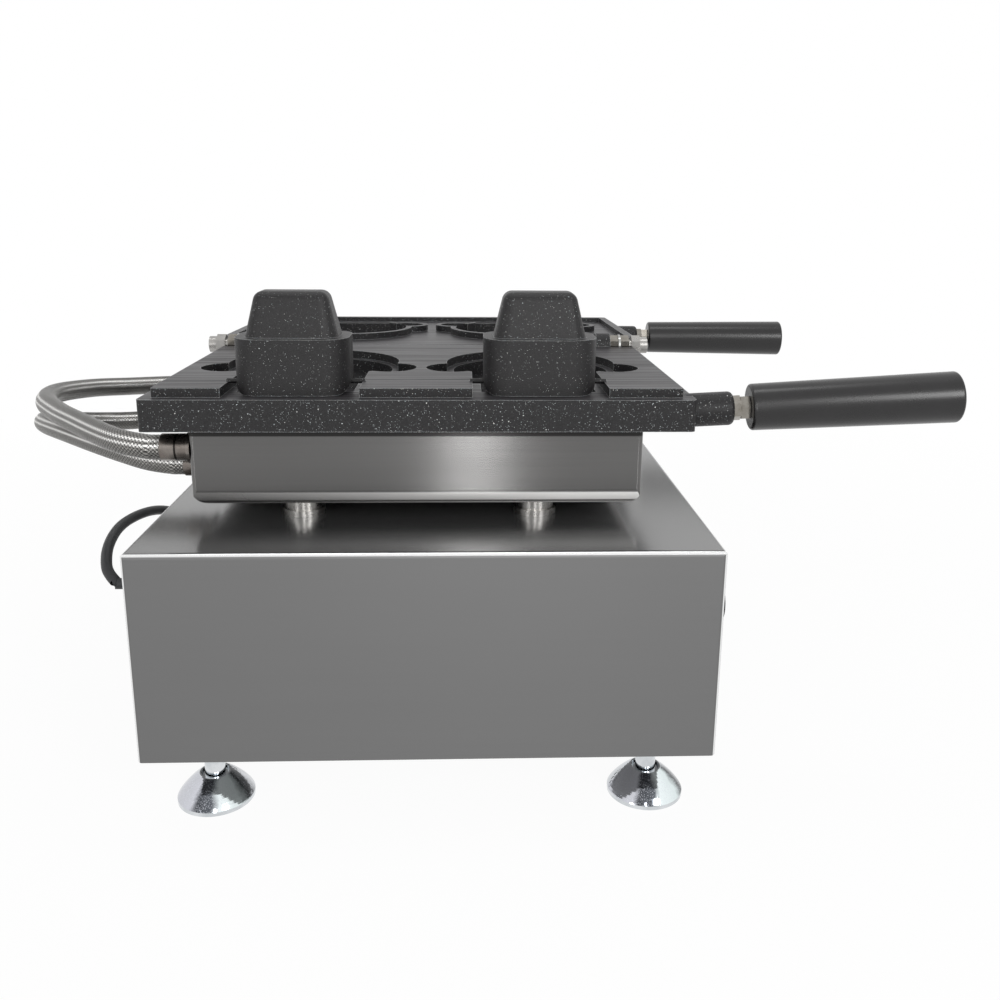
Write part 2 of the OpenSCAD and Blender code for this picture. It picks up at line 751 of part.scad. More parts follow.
module switch_body() {
  bezel_t = 1.8;
  color("#1b1b1d") difference() {
    union() {
      translate([panel_face, switch_y - rocker_w / 2 - 2, control_z - rocker_h / 2 - 2])
        cube([bezel_t, rocker_w + 4, rocker_h + 4]);
      translate([control_back - switch_depth, switch_y - rocker_w / 2, control_z - rocker_h / 2])
        cube([switch_depth + sheet_t + panel_t + eps, rocker_w, rocker_h]);
    }
    translate([rocker_x - 9, switch_y - rocker_w / 2 + switch_wall,
               control_z - rocker_h / 2 + switch_wall])
      cube([30, rocker_w - 2 * switch_wall, rocker_h - 2 * switch_wall]);
    translate([rocker_x, switch_y, control_z]) rotate([90, 0, 0])
      cylinder(r = rocker_pin_r + pin_clear, h = rocker_w - 2, center = true, $fn = small_fn);
  }
}

module switch_rocker() {
  cap_w = rocker_w - 2 * switch_wall - 1;
  cap_h = rocker_h - 2 * switch_wall - 2;
  color("#b3211b") translate([rocker_x, switch_y, control_z]) rotate([0, -rocker_tilt, 0]) {
    translate([-4, -cap_w / 2, -cap_h / 2]) cube([7.5, cap_w, cap_h]);
    rotate([90, 0, 0])
      cylinder(r = rocker_pin_r, h = rocker_w - 2.4, center = true, $fn = small_fn);
  }
}

module indicator_lamps() {
  rim_t = 2;
  color("#d8452a") for (y = [thermostat_y, timer_y]) translate([0, y, lamp_z]) {
    rod_x(lamp_r, control_back - 16, panel_face + eps);
    rod_x(lamp_r + 1.5, panel_face, panel_face + rim_t);
    cone_x(lamp_r, lamp_r - 1.5, panel_face + rim_t - eps, panel_face + rim_t + 2);
  }
}

module terminal_block() {
  ways = 5;
  way_w = 11;
  depth = 20;
  inset = 52;
  translate([housing_x0 + inset, front_y + gland_place[1] - ways * way_w / 2, foot_h + tray_t])
    color("#e8e4d8") difference() {
      cube([depth, ways * way_w, 17]);
      for (i = [0 : ways - 1]) translate([0, (i + 0.5) * way_w, 9]) rod_x(2.2, -1, depth + 1);
    }
}

// Standoffs and studs between the housing and the lower pan

module standoffs() {
  wide_h = standoff_h * 0.4;
  color("#c4c4c2") at_pan_studs() {
    ring_z(standoff_d / 2 + 1.5, pan_stud_r + hole_clear, housing_top, housing_top + wide_h);
    ring_z(standoff_d / 2, pan_stud_r + hole_clear, housing_top + wide_h, pan_bottom);
  }
}

module lower_studs() {
  color("#c4c4c2") at_pan_studs()
    rod_z(pan_stud_r, housing_top - sheet_t - 2 * pan_nut_h, cup_z + pan_stud_seat);
}

module lower_stud_nuts() {
  z1 = housing_top - sheet_t;
  color("#c4c4c2") at_pan_studs()
    nut_z(pan_nut_af, pan_stud_r + thread_gap, z1 - pan_nut_h, z1);
}

// Mould plates, both drawn with the mating face up, as the lower plate lies

// Plan of a hollow: a disc with two ears
module hollow_plan(grow) {
  circle(r = cavity_r + grow, $fn = round_fn);
  for (side = [-1, 1]) translate([side * ear_x, -ear_y]) circle(r = ear_r + grow, $fn = round_fn);
}

// Baking hollow, cut down from the mating face
module hollow() {
  over = table_h + 1;
  rotate_extrude($fn = round_fn) {
    translate([0, -cavity_depth]) square([cavity_r - hollow_edge_r, cavity_depth + over]);
    translate([0, hollow_edge_r - cavity_depth])
      square([cavity_r, cavity_depth - hollow_edge_r + over]);
    translate([cavity_r - hollow_edge_r, hollow_edge_r - cavity_depth]) intersection() {
      circle(r = hollow_edge_r, $fn = round_fn);
      translate([0, -hollow_edge_r]) square(hollow_edge_r);
    }
  }
  for (side = [-1, 1]) translate([side * ear_x, -ear_y, -ear_depth])
    cylinder(r = ear_r, h = ear_depth + over, $fn = round_fn);
}

// Section of a core across its length, centred, grown by a clearance
module core_section(grow, fn = round_fn) {
  w = core_w / 2 + grow;
  t = core_t / 2 + grow;
  round_rect(-w, -t, w, t, core_corner_r + grow, fn);
}

// Recess that a core lies in, from behind its standing place into the hollow
module core_recess(relief) {
  y0 = core_y - table_h - core_clear - relief;
  translate([0, cavity_y, 0]) rotate([90, 0, 0]) linear_extrude(cavity_y - y0)
    core_section(recess_grow);
}

// Cups under the flange that hold the depth of the hollows and of the recesses
module cups() {
  depth = cup_depth - plate_t + eps;
  cup_y0 = pan_y0 + pan_t + 1.5;
  for (x = cavity_xs) translate([x, 0, cup_z]) {
    translate([0, cavity_y, 0]) cylinder(r = cavity_r + cup_wall, h = depth, $fn = round_fn);
    translate([-core_w / 2 - cup_wall / 2, cup_y0, 0])
      cube([core_w + cup_wall, cavity_y - cup_y0, depth]);
  }
}

// Hinge lugs of one plate, from x0 to x1 along the axis
module hinge_lugs(x0, x1) {
  at_hinge_ends() {
    rod_x(lug_r, x0, x1, round_fn);
    translate([x0, -notch_r - 1, lid_gap / 2 - flange_t])
      cube([x1 - x0, notch_r + 1 - hinge_seam / 2, flange_t - lid_gap]);
  }
}

module hinge_notches() {
  at_hinge_ends() translate([head_x0 - 1, -notch_r, -plate_t - 1])
    cube([plate_w / 2 - head_x0 + 2, notch_r + 1, 2 * plate_t]);
}

module table(inset) {
  translate([0, 0, ledge_z - eps]) linear_extrude(table_h + eps)
    round_rect(plate_x0 + inset, plate_y0 + inset, plate_x1 - inset, hinge_y - hinge_seam / 2,
               max(plate_corner_r - inset, 1));
}

module plate_body(table_inset) {
  difference() {
    union() {
      translate([0, 0, flange_bottom]) linear_extrude(flange_t)
        round_rect(plate_x0, plate_y0, plate_x1, hinge_y - hinge_seam / 2, plate_corner_r);
      table(table_inset);
    }
    hinge_notches();
  }
  cups();
}

// Everything that is cut from both plates
module plate_cuts(recess_relief) {
  pin_reach = channel_w / 2 + core_pin_seat + 0.3;
  for (x = cavity_xs) translate([x, 0, mate_z]) {
    translate([0, cavity_y, 0]) hollow();
    core_recess(recess_relief);
    translate([0, core_y, 0]) rod_x(core_pin_r + pin_clear, -pin_reach, pin_reach);
  }
  at_pan_studs() rod_z(pan_stud_r + thread_gap, cup_z - 1, cup_z + pan_stud_seat);
  bulb_place() cylinder(r = bulb_d / 2 + hole_clear, h = bulb_len + 2, center = true,
                        $fn = small_fn);
  at_hinge_ends() rod_x(hinge_d / 2 + pin_clear, lid_lug_x0 - 1, lower_lug_x1 + 1);
}

// Runs its children along a handle from the plate's end
module along_handle(y, z, pitch, yaw) {
  translate([plate_x1, y, z]) rotate([0, -pitch, -yaw]) children();
}
module along_lower_handle() {
  along_handle(handle_y, handle_z, grip_pitch, grip_yaw) children();
}
module along_lid_handle() {
  along_handle(lid_handle_y, lid_handle_z, 0, -lid_grip_yaw) children();
}

module handle_boss() {
  round_r = 3;
  rod_x(boss_d / 2, -3, boss_len - round_r, round_fn);
  rod_x(boss_d / 2 - round_r, 0, boss_len, round_fn);
  translate([boss_len - round_r, 0, 0]) rotate([0, 90, 0]) rotate_extrude($fn = round_fn)
    translate([boss_d / 2 - round_r, 0]) intersection() {
      circle(r = round_r, $fn = small_fn);
      translate([0, -eps]) square(round_r + eps);
    }
}
module handle_hole() { rod_x(rod_d / 2 + thread_gap, boss_len - rod_in_boss, boss_len + 1); }

module lower_plate() {
  over = table_h + 1;
  color("#2b2b2d") difference() {
    union() {
      plate_body(ledge_w);
      hinge_lugs(lower_lug_x0, lower_lug_x1);
      along_lower_handle() handle_boss();
    }
    plate_cuts(0);
    for (x = cavity_xs) translate([x, 0, ledge_z]) {
      translate([0, cavity_y, 0]) linear_extrude(over) hollow_plan(step_w);
      translate([-channel_w / 2, plate_y0 - 1, 0]) cube([channel_w, cavity_setback - ear_y, over]);
    }
    along_lower_handle() handle_hole();
  }
}

// Rim that stands on the lid's face along its front and ends
module lid_rim() {
  w = ledge_w - rim_clear;
  back_y = hinge_y - notch_r - 6;
  translate([0, 0, mate_z - eps]) linear_extrude(rim_h + eps) difference() {
    round_rect(plate_x0, plate_y0, plate_x1, back_y + 2 * plate_corner_r, plate_corner_r);
    translate([plate_x0 + w, plate_y0 + w]) square([plate_w - 2 * w, plate_reach]);
    translate([plate_x0 - 1, back_y]) square([plate_w + 2, plate_reach]);
  }
}

// Collars around the lid's hollows, which fit the step around the lower ones and leave the mouth
// open for the cores
module lid_collars() {
  gate_w = core_w + 2 * core_clear;
  gate_y1 = cavity_y - sqrt(pow(cavity_r, 2) - pow(core_w / 2 - shoulder_w + 1, 2));
  for (x = cavity_xs) translate([x, 0, mate_z - eps]) difference() {
    translate([0, cavity_y, 0]) linear_extrude(table_h - rim_clear + eps)
      hollow_plan(step_w - rim_clear);
    translate([-gate_w / 2, plate_y0, -1]) cube([gate_w, gate_y1 - plate_y0, table_h + 2]);
  }
}

module lid_plate() {
  color("#2b2b2d") lid_place() difference() {
    union() {
      over_mating_face() {
        plate_body(0);
        hinge_lugs(lid_lug_x0, lid_lug_x1);
        lid_rim();
        lid_collars();
      }
      along_lid_handle() handle_boss();
    }
    over_mating_face() plate_cuts(lid_recess_relief);
    along_lid_handle() handle_hole();
  }
}

// Pans, heaters, insulation and bulbs, drawn for the lower plate

bulb_len = 70;
heater_leg = 27;
heater_swage = 0.05;
heater_joint = 0.2;
heater_gap = 0.05;
heater_end_gap = 6;
insulation_gap = 0.4;

module bulb_place() {
  translate([cavity_mid, cavity_y, flange_bottom]) rotate([90, 0, 0]) children();
}

module pan_shell() {
  difference() {
    pan_form(pan_x0, pan_x1, pan_y0, pan_y1, pan_bottom, flange_bottom, pan_corner_r, pan_edge_r);
    pan_form(pan_x0 + pan_t, pan_x1 - pan_t, pan_y0 + pan_t, pan_y1 - pan_t,
             pan_bottom + pan_t, flange_bottom + 1, pan_corner_r - pan_t, pan_edge_r - pan_t);
    at_pan_studs() rod_z(pan_stud_r + hole_clear, pan_bottom - 1, pan_bottom + pan_t + 1);
  }
}

module heater() {
  x0 = pan_x0 + pan_t + heater_end_gap;
  x1 = cavity_xs[1] + 12;
  z = cup_z - heater_d / 2 - heater_gap;
  color("#6f6a66") translate([0, cavity_y, z]) {
    for (side = [-1, 1]) translate([0, side * heater_leg, 0])
      rod_x(heater_d / 2 - heater_swage, x0, x1 + heater_joint);
    translate([x1, 0, 0]) rotate([0, 0, -90]) rotate_extrude(angle = 180, $fn = round_fn)
      translate([heater_leg, 0]) circle(d = heater_d, $fn = small_fn);
  }
}

module insulation() {
  z0 = pan_bottom + pan_t;
  inset = pan_edge_r + insulation_gap;
  color("#dcd8cc") difference() {
    translate([pan_x0 + inset, pan_y0 + inset, z0])
      cube([pan_x1 - pan_x0 - 2 * inset, pan_y1 - pan_y0 - 2 * inset, insulation_t]);
    at_pan_studs() rod_z(pan_stud_r + insulation_gap, z0 - 1, z0 + insulation_t + 1);
  }
}

module bulb() {
  color("#b98a52") bulb_place()
    cylinder(r = bulb_d / 2, h = bulb_len, center = true, $fn = small_fn);
}

// Puts its children at a ferrule of a pan drawn for the lower plate
module at_ferrule(f) {
  translate([pan_x0, plate_y0 + f[0], mate_z - f[1]]) children();
}

module pan_with_hose_holes(places) {
  color("#adadab") difference() {
    pan_shell();
    for (f = places) at_ferrule(f) rod_x(hose_r - 2, -1, pan_t + 1);
  }
}

module ferrule() {
  difference() {
    union() {
      rod_x(ferrule_d / 2 + 1.5, -ferrule_flange, 0, round_fn);
      rod_x(ferrule_d / 2, -ferrule_flange - ferrule_len, eps - ferrule_flange, round_fn);
    }
    rod_x(hose_r - 2, -ferrule_len, 1);
  }
}

module lower_pan() { pan_with_hose_holes([upper_ferrule, lower_ferrule]); }
module lower_heater() { heater(); }
module lower_insulation() { insulation(); }
module lower_bulb() { bulb(); }
module lower_ferrules() {
  color("#a8947c") for (f = [upper_ferrule, lower_ferrule]) at_ferrule(f) ferrule();
}

module lid_pan() {
  lid_place() over_mating_face() pan_with_hose_holes([upper_lid_ferrule, lower_lid_ferrule]);
}
module lid_heater() { lid_place() over_mating_face() heater(); }
module lid_insulation() { lid_place() over_mating_face() insulation(); }
module lid_bulb() { lid_place() over_mating_face() bulb(); }
module lid_ferrules() {
  color("#a8947c") lid_place() over_mating_face()
    for (f = [upper_lid_ferrule, lower_lid_ferrule]) at_ferrule(f) ferrule();
}

module lid_studs() {
  color("#c4c4c2") lid_place() over_mating_face() at_pan_studs()
    rod_z(pan_stud_r, pan_bottom - pan_nut_h + 1, cup_z + pan_stud_seat);
}

module lid_cap_nuts() {
  color("#d2d2d0") lid_place() over_mating_face() at_pan_studs() difference() {
    hex_z(pan_nut_af, pan_bottom - pan_nut_h, pan_bottom);
    rod_z(pan_stud_r + thread_gap, pan_bottom - pan_nut_h + 1, pan_bottom + 1);
  }
}

// Hinge hardware

module hinge_bolts() {
  color("#c9c9c7") at_hinge_ends() {
    hex_x(hinge_af, head_x0, washer_x0);
    rod_x(hinge_d / 2, washer_x0 - eps, hinge_bolt_x1);
  }
}

module hinge_washers() {
  color("#c9c9c7") at_hinge_ends() for (x = [washer_x0, outer_washer_x0])
    ring_x(hinge_af / 2 + 1.5, hinge_d / 2 + hole_clear, x, x + hinge_washer_t);
}

module hinge_nuts() {
  color("#b6a78c") at_hinge_ends() for (x = [lower_lug_x1, outer_nut_x0])
    nut_x(hinge_af, hinge_d / 2 + thread_gap, x, x + hinge_nut_h);
}

module hinge_cap_nuts() {
  color("#d6d6d4") at_hinge_ends() difference() {
    union() {
      hex_x(hinge_af, cap_x0, cap_x0 + hinge_nut_h);
      rod_x(hinge_af / 2 - 0.5, cap_x0 + hinge_nut_h - eps, cap_x0 + hinge_cap_h);
    }
    rod_x(hinge_d / 2 + thread_gap, cap_x0 - 1, hinge_bolt_x1);
  }
}

// Cores, which stand in their channels and swing back into the hollows as the lid closes

module core(x) {
  w = core_w / 2 - shoulder_w;
  t = core_t / 2 - shoulder_w;
  tip_x = w - nose_taper - nose_r;
  tip_y = t - nose_taper - nose_r;
  color("#29292b") translate([x, core_y, ledge_z + core_rest_gap]) difference() {
    union() {
      intersection() {
        linear_extrude(core_h) core_section(0);
        translate([0, core_t, 0]) rotate([90, 0, 0]) linear_extrude(2 * core_t)
          round_rect(-core_w / 2, 0, core_w / 2, core_h + 2 * core_base_r, core_base_r);
      }
      hull() {
        translate([0, 0, core_h - 1]) linear_extrude(1)
          round_rect(-w, -t, w, t, core_corner_r - shoulder_w, hull_fn);
        for (tx = [-tip_x, tip_x]) for (ty = [-tip_y, tip_y])
          translate([tx, ty, core_h + nose_h - nose_r]) sphere(r = nose_r, $fn = hull_fn);
      }
    }
    translate([0, 0, table_h - core_rest_gap]) rod_x(core_pin_r + thread_gap, -core_w, core_w);
  }
}
module core_pin(x) {
  reach = channel_w / 2 + core_pin_seat;
  color("#bdbdbb") translate([x, core_y, mate_z]) rod_x(core_pin_r, -reach, reach);
}

module core_left() { core(cavity_xs[0]); }
module core_right() { core(cavity_xs[1]); }
module core_pin_left() { core_pin(cavity_xs[0]); }
module core_pin_right() { core_pin(cavity_xs[1]); }

// Handles

module handle_rod() {
  color("#c2c2c0") rod_x(rod_d / 2, boss_len - rod_in_boss, boss_len + grip_start + rod_in_grip);
}
module handle_nuts() {
  x1 = boss_len + handle_nut_h[0];
  color("#b9b6ae") {
    nut_x(nut_af, rod_d / 2 + thread_gap, boss_len, x1);
    rotate([20, 0, 0]) nut_x(nut_af, rod_d / 2 + thread_gap, x1, x1 + handle_nut_h[1]);
  }
}
module grip() {
  r0 = grip_r0 - grip_bead;
  r1 = grip_r1 - grip_bead;
  color("#232325") translate([boss_len + grip_start, 0, 0]) difference() {
    rotate([0, 90, 0]) rotate_extrude($fn = round_fn) {
      polygon([[0, 0], [r0, 0], [grip_r0, grip_bead], [grip_r1, grip_len - grip_bead],
               [r1, grip_len], [0, grip_len]]);
      translate([r0, grip_bead]) circle(r = grip_bead, $fn = small_fn);
      translate([r1, grip_len - grip_bead]) circle(r = grip_bead, $fn = small_fn);
    }
    rod_x(rod_d / 2 + thread_gap, -1, rod_in_grip);
  }
}

module lower_handle_rod() { along_lower_handle() handle_rod(); }
module lower_handle_nuts() { along_lower_handle() handle_nuts(); }
module lower_grip() { along_lower_handle() grip(); }
module lid_handle_rod() { lid_place() along_lid_handle() handle_rod(); }
module lid_handle_nuts() { lid_place() along_lid_handle() handle_nuts(); }
module lid_grip() { lid_place() along_lid_handle() grip(); }

// Braided hoses between the two pans

module hose_upper() { color("#9d9c98") tube(placed(upper_hose_line), hose_r, hose_sides); }
module hose_lower() { color("#9d9c98") tube(placed(lower_hose_line), hose_r, hose_sides); }

// Mains cord

module cord_gland() {
  relief_x = -gland_flange_t - gland_relief_len;
  color("#1d1d1f") translate(gland_place + [mid_x, front_y, 0]) {
    rod_x(gland_thread_r, -eps, sheet_t + 8);
    hex_x(16, sheet_t, sheet_t + 4);
    rod_x(10, -gland_flange_t, 0, round_fn);
    cone_x(cord_r + 1.4, 8, relief_x, eps - gland_flange_t);
  }
}

module mains_cord() { color("#2a2b2d") tube(placed(cord_line), cord_r, cord_sides); }
module mains_cord_coil() { color("#2a2b2d") tube(placed(coil_line), cord_r, coil_sides); }

plug_relief_len = 24;
plug_len = 34;
plug_w = 25;
blade_len = 18;
blade_pitch = 12.7;

module mains_plug() {
  half_h = coil_end[2];
  color("#202123") translate(coil_end + [mid_x, front_y, 0]) {
    cone_x(cord_r + 1.2, cord_r + 3.4, 0, plug_relief_len + eps);
    translate([plug_relief_len, -plug_w / 2, -half_h]) cube([plug_len, plug_w, 2 * half_h]);
  }
  color("#b8a26a") translate(coil_end + [mid_x + plug_relief_len + plug_len, front_y, 0])
    for (side = [-1, 1]) translate([-1, side * blade_pitch / 2 - 0.8, -3.2])
      cube([blade_len + 1, 1.6, 6.4]);
}

// Least gap between the coil's turns, measured on its points
coil_gap = min([
  for (i = [0 : 2 : len(coil_line) - 1])
    for (j = [i + coil_rings / 2 : 1 : len(coil_line) - 1])
      norm(coil_line[i] - coil_line[j])
]) - cord_d;
function line_length(p, i = 1) =
  i >= len(p) ? 0 : norm(p[i] - p[i - 1]) + line_length(p, i + 1);
echo(coil_gap = coil_gap);
echo(coil_length = line_length(coil_line), cord_length = line_length(cord_line));
echo(mid_x = mid_x, front_y = front_y, left_reach = left_reach, right_reach = right_reach);

housing_shell();
housing_tray();
tray_screws();
foot_pad_front_left();
foot_pad_front_right();
foot_pad_back_left();
foot_pad_back_right();
foot_stud_front_left();
foot_stud_front_right();
foot_stud_back_left();
foot_stud_back_right();
foot_weld_nuts();
control_panel();
panel_screws();
thermostat();
timer();
thermostat_knob();
timer_knob();
switch_body();
switch_rocker();
indicator_lamps();
terminal_block();
standoffs();
lower_studs();
lower_stud_nuts();
lower_plate();
lower_pan();
lower_heater();
lower_insulation();
lower_bulb();
lid_plate();
lid_pan();
lid_heater();
lid_insulation();
lid_bulb();
lid_studs();
lid_cap_nuts();
hinge_bolts();
hinge_washers();
hinge_nuts();
hinge_cap_nuts();
core_left();
core_right();
core_pin_left();
core_pin_right();
lower_handle_rod();
lower_handle_nuts();
lower_grip();
lid_handle_rod();
lid_handle_nuts();
lid_grip();
hose_upper();
hose_lower();
lower_ferrules();
lid_ferrules();
cord_gland();
mains_cord();
mains_cord_coil();
mains_plug();
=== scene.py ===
import json
import math

import bmesh
import bpy
import numpy as np
from mathutils import Matrix, Vector


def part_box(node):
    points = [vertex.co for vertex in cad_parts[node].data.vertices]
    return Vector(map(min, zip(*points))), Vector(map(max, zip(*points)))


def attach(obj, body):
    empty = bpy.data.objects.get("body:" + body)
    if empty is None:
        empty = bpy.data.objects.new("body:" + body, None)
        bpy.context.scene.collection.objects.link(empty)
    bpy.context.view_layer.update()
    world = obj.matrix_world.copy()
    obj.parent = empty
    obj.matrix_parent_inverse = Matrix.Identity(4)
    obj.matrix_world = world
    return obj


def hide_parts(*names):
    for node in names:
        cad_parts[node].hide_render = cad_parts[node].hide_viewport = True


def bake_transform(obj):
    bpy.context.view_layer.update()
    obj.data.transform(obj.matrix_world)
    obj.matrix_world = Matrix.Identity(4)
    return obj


MM = 0.001

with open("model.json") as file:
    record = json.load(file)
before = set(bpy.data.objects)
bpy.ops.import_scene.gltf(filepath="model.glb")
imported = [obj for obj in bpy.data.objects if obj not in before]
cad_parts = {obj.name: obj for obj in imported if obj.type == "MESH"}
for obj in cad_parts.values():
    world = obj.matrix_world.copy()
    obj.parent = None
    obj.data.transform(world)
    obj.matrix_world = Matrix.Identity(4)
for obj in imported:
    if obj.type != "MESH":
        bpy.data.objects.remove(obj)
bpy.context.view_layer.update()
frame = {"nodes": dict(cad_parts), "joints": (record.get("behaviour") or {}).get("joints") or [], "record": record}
joints = {joint["name"]: joint for joint in frame["joints"]}
scene = bpy.context.scene
scene.view_settings.view_transform = "Standard"


def box_mm(node):
    """A solid's lowest and highest corner and its middle, in millimetres."""
    lo, hi = (np.array(c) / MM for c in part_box(node))
    return lo, hi, (lo + hi) / 2


# The housing's middle and its front edge on the table, in millimetres of the frame. The camera
# and the points of the cord and the hoses are placed from there
ORIGIN = np.array((-0.342704, -208.0, 0.0))


# Camera

CAMERA_TURN = (13.94, 2.203, 0.455)
CAMERA_AT = np.array((20.23, -506.19, 357.84))
SENSOR, PICTURE, FOCAL, SHIFT_UP = 36, 1000, 970.65, -0.05


def make_camera():
    """The photo's camera, with its turn in degrees and its focal length in pixels."""
    pitch, yaw, roll = (math.radians(a) for a in CAMERA_TURN)
    forward = Vector((math.sin(yaw) * math.cos(pitch), math.cos(yaw) * math.cos(pitch),
                      -math.sin(pitch)))
    right = Vector((math.cos(yaw), -math.sin(yaw), 0))
    up = right.cross(forward)
    right = math.cos(roll) * right + math.sin(roll) * up
    up = right.cross(forward)
    data = bpy.data.cameras.new("camera")
    data.sensor_width = SENSOR
    data.lens = FOCAL * SENSOR / PICTURE
    data.shift_y = SHIFT_UP
    data.clip_start, data.clip_end = 0.01, 50
    cam = bpy.data.objects.new("camera", data)
    scene.collection.objects.link(cam)
    turn = Matrix((right, up, -forward)).transposed().to_4x4()
    cam.matrix_world = Matrix.Translation((CAMERA_AT + ORIGIN) * MM) @ turn
    scene.camera = cam


make_camera()


# Shaders

class Graph:
    """A tree of shader nodes, with short calls that add to it."""

    def __init__(self, owner):
        owner.use_nodes = True
        self.tree = owner.node_tree

    def node(self, kind, inputs=None, **props):
        n = self.tree.nodes.new("ShaderNode" + kind)
        for key, value in props.items():
            setattr(n, key, value)
        for key, value in (inputs or {}).items():
            if isinstance(value, bpy.types.NodeSocket):
                self.tree.links.new(value, n.inputs[key])
            else:
                n.inputs[key].default_value = value
        return n

    def coords(self):
        return self.node("TexCoord").outputs["Object"]

    def math(self, operation, a, b=0.0):
        return self.node("Math", {0: a, 1: b}, operation=operation).outputs[0]


class Shader(Graph):
    """A material with one Principled shader and short calls for the nodes in front of it."""

    def __init__(self, name, color, rough, metal=0.0, **sockets):
        self.mat = bpy.data.materials.new(name)
        super().__init__(self.mat)
        self.bsdf = next(n for n in self.tree.nodes if n.type == "BSDF_PRINCIPLED")
        self.bsdf.inputs["Base Color"].default_value = (*color, 1)
        self.bsdf.inputs["Roughness"].default_value = rough
        self.bsdf.inputs["Metallic"].default_value = metal
        for key, value in sockets.items():
            self.bsdf.inputs[key.replace("_", " ")].default_value = value

    def mix(self, factor, a, b):
        """a at factor 0, b at factor 1."""
        return self.node("Mix", {"Factor": factor, "A": a, "B": b}).outputs["Result"]

    def blend_color(self, factor, a, b):
        """The same for two colours."""
        n = self.node("Mix", data_type="RGBA")
        for index, value in ((0, factor), (6, a), (7, b)):
            if isinstance(value, bpy.types.NodeSocket):
                self.tree.links.new(value, n.inputs[index])
            else:
                n.inputs[index].default_value = value if index == 0 else (*value, 1)
        return n.outputs[2]

    def ramp(self, value, low, high):
        """0 at low, 1 at high."""
        n = self.node("MapRange", {"Value": value, "From Min": low, "From Max": high})
        return n.outputs["Result"]

    def span(self, value, low, high):
        """low at 0, high at 1."""
        n = self.node("MapRange", {"Value": value, "To Min": low, "To Max": high})
        return n.outputs["Result"]

    def noise(self, scale, detail=2.0, rough=0.5):
        """Noise of one scale, or of one for each axis."""
        scale = (scale,) * 3 if isinstance(scale, (int, float)) else scale
        moved = self.node("Mapping", {"Vector": self.coords(), "Scale": scale})
        return self.node("TexNoise", {"Vector": moved.outputs[0], "Scale": 1.0,
                                      "Detail": detail, "Roughness": rough}).outputs[0]

    def normal(self):
        """The surface's normal in the piece's own frame, as three sockets."""
        geometry = self.node("NewGeometry").outputs["Normal"]
        turned = self.node("VectorTransform", {"Vector": geometry}, vector_type="NORMAL",
                           convert_from="WORLD", convert_to="OBJECT").outputs[0]
        return self.node("SeparateXYZ", {0: turned}).outputs

    def facing(self, axis, low, high):
        """How far the surface looks along an axis, from 0 at low to 1 at high."""
        return self.ramp(self.math("ABSOLUTE", self.normal()[axis]), low, high)

    def color(self, socket):
        self.tree.links.new(socket, self.bsdf.inputs["Base Color"])

    def set(self, key, socket):
        self.tree.links.new(socket, self.bsdf.inputs[key])

    def bump(self, height, strength, distance):
        n = self.node("Bump", {"Height": height, "Strength": strength, "Distance": distance})
        self.tree.links.new(n.outputs[0], self.bsdf.inputs["Normal"])


def lighter(color, by):
    """The colour that many times as bright, at most white."""
    return tuple(min(1.0, c * by) for c in color)


GRAIN_DARK, GRAIN_BRIGHT = 0.2, 1.8
GRAIN_ALONG, GRAIN_ACROSS = 7, 900.0


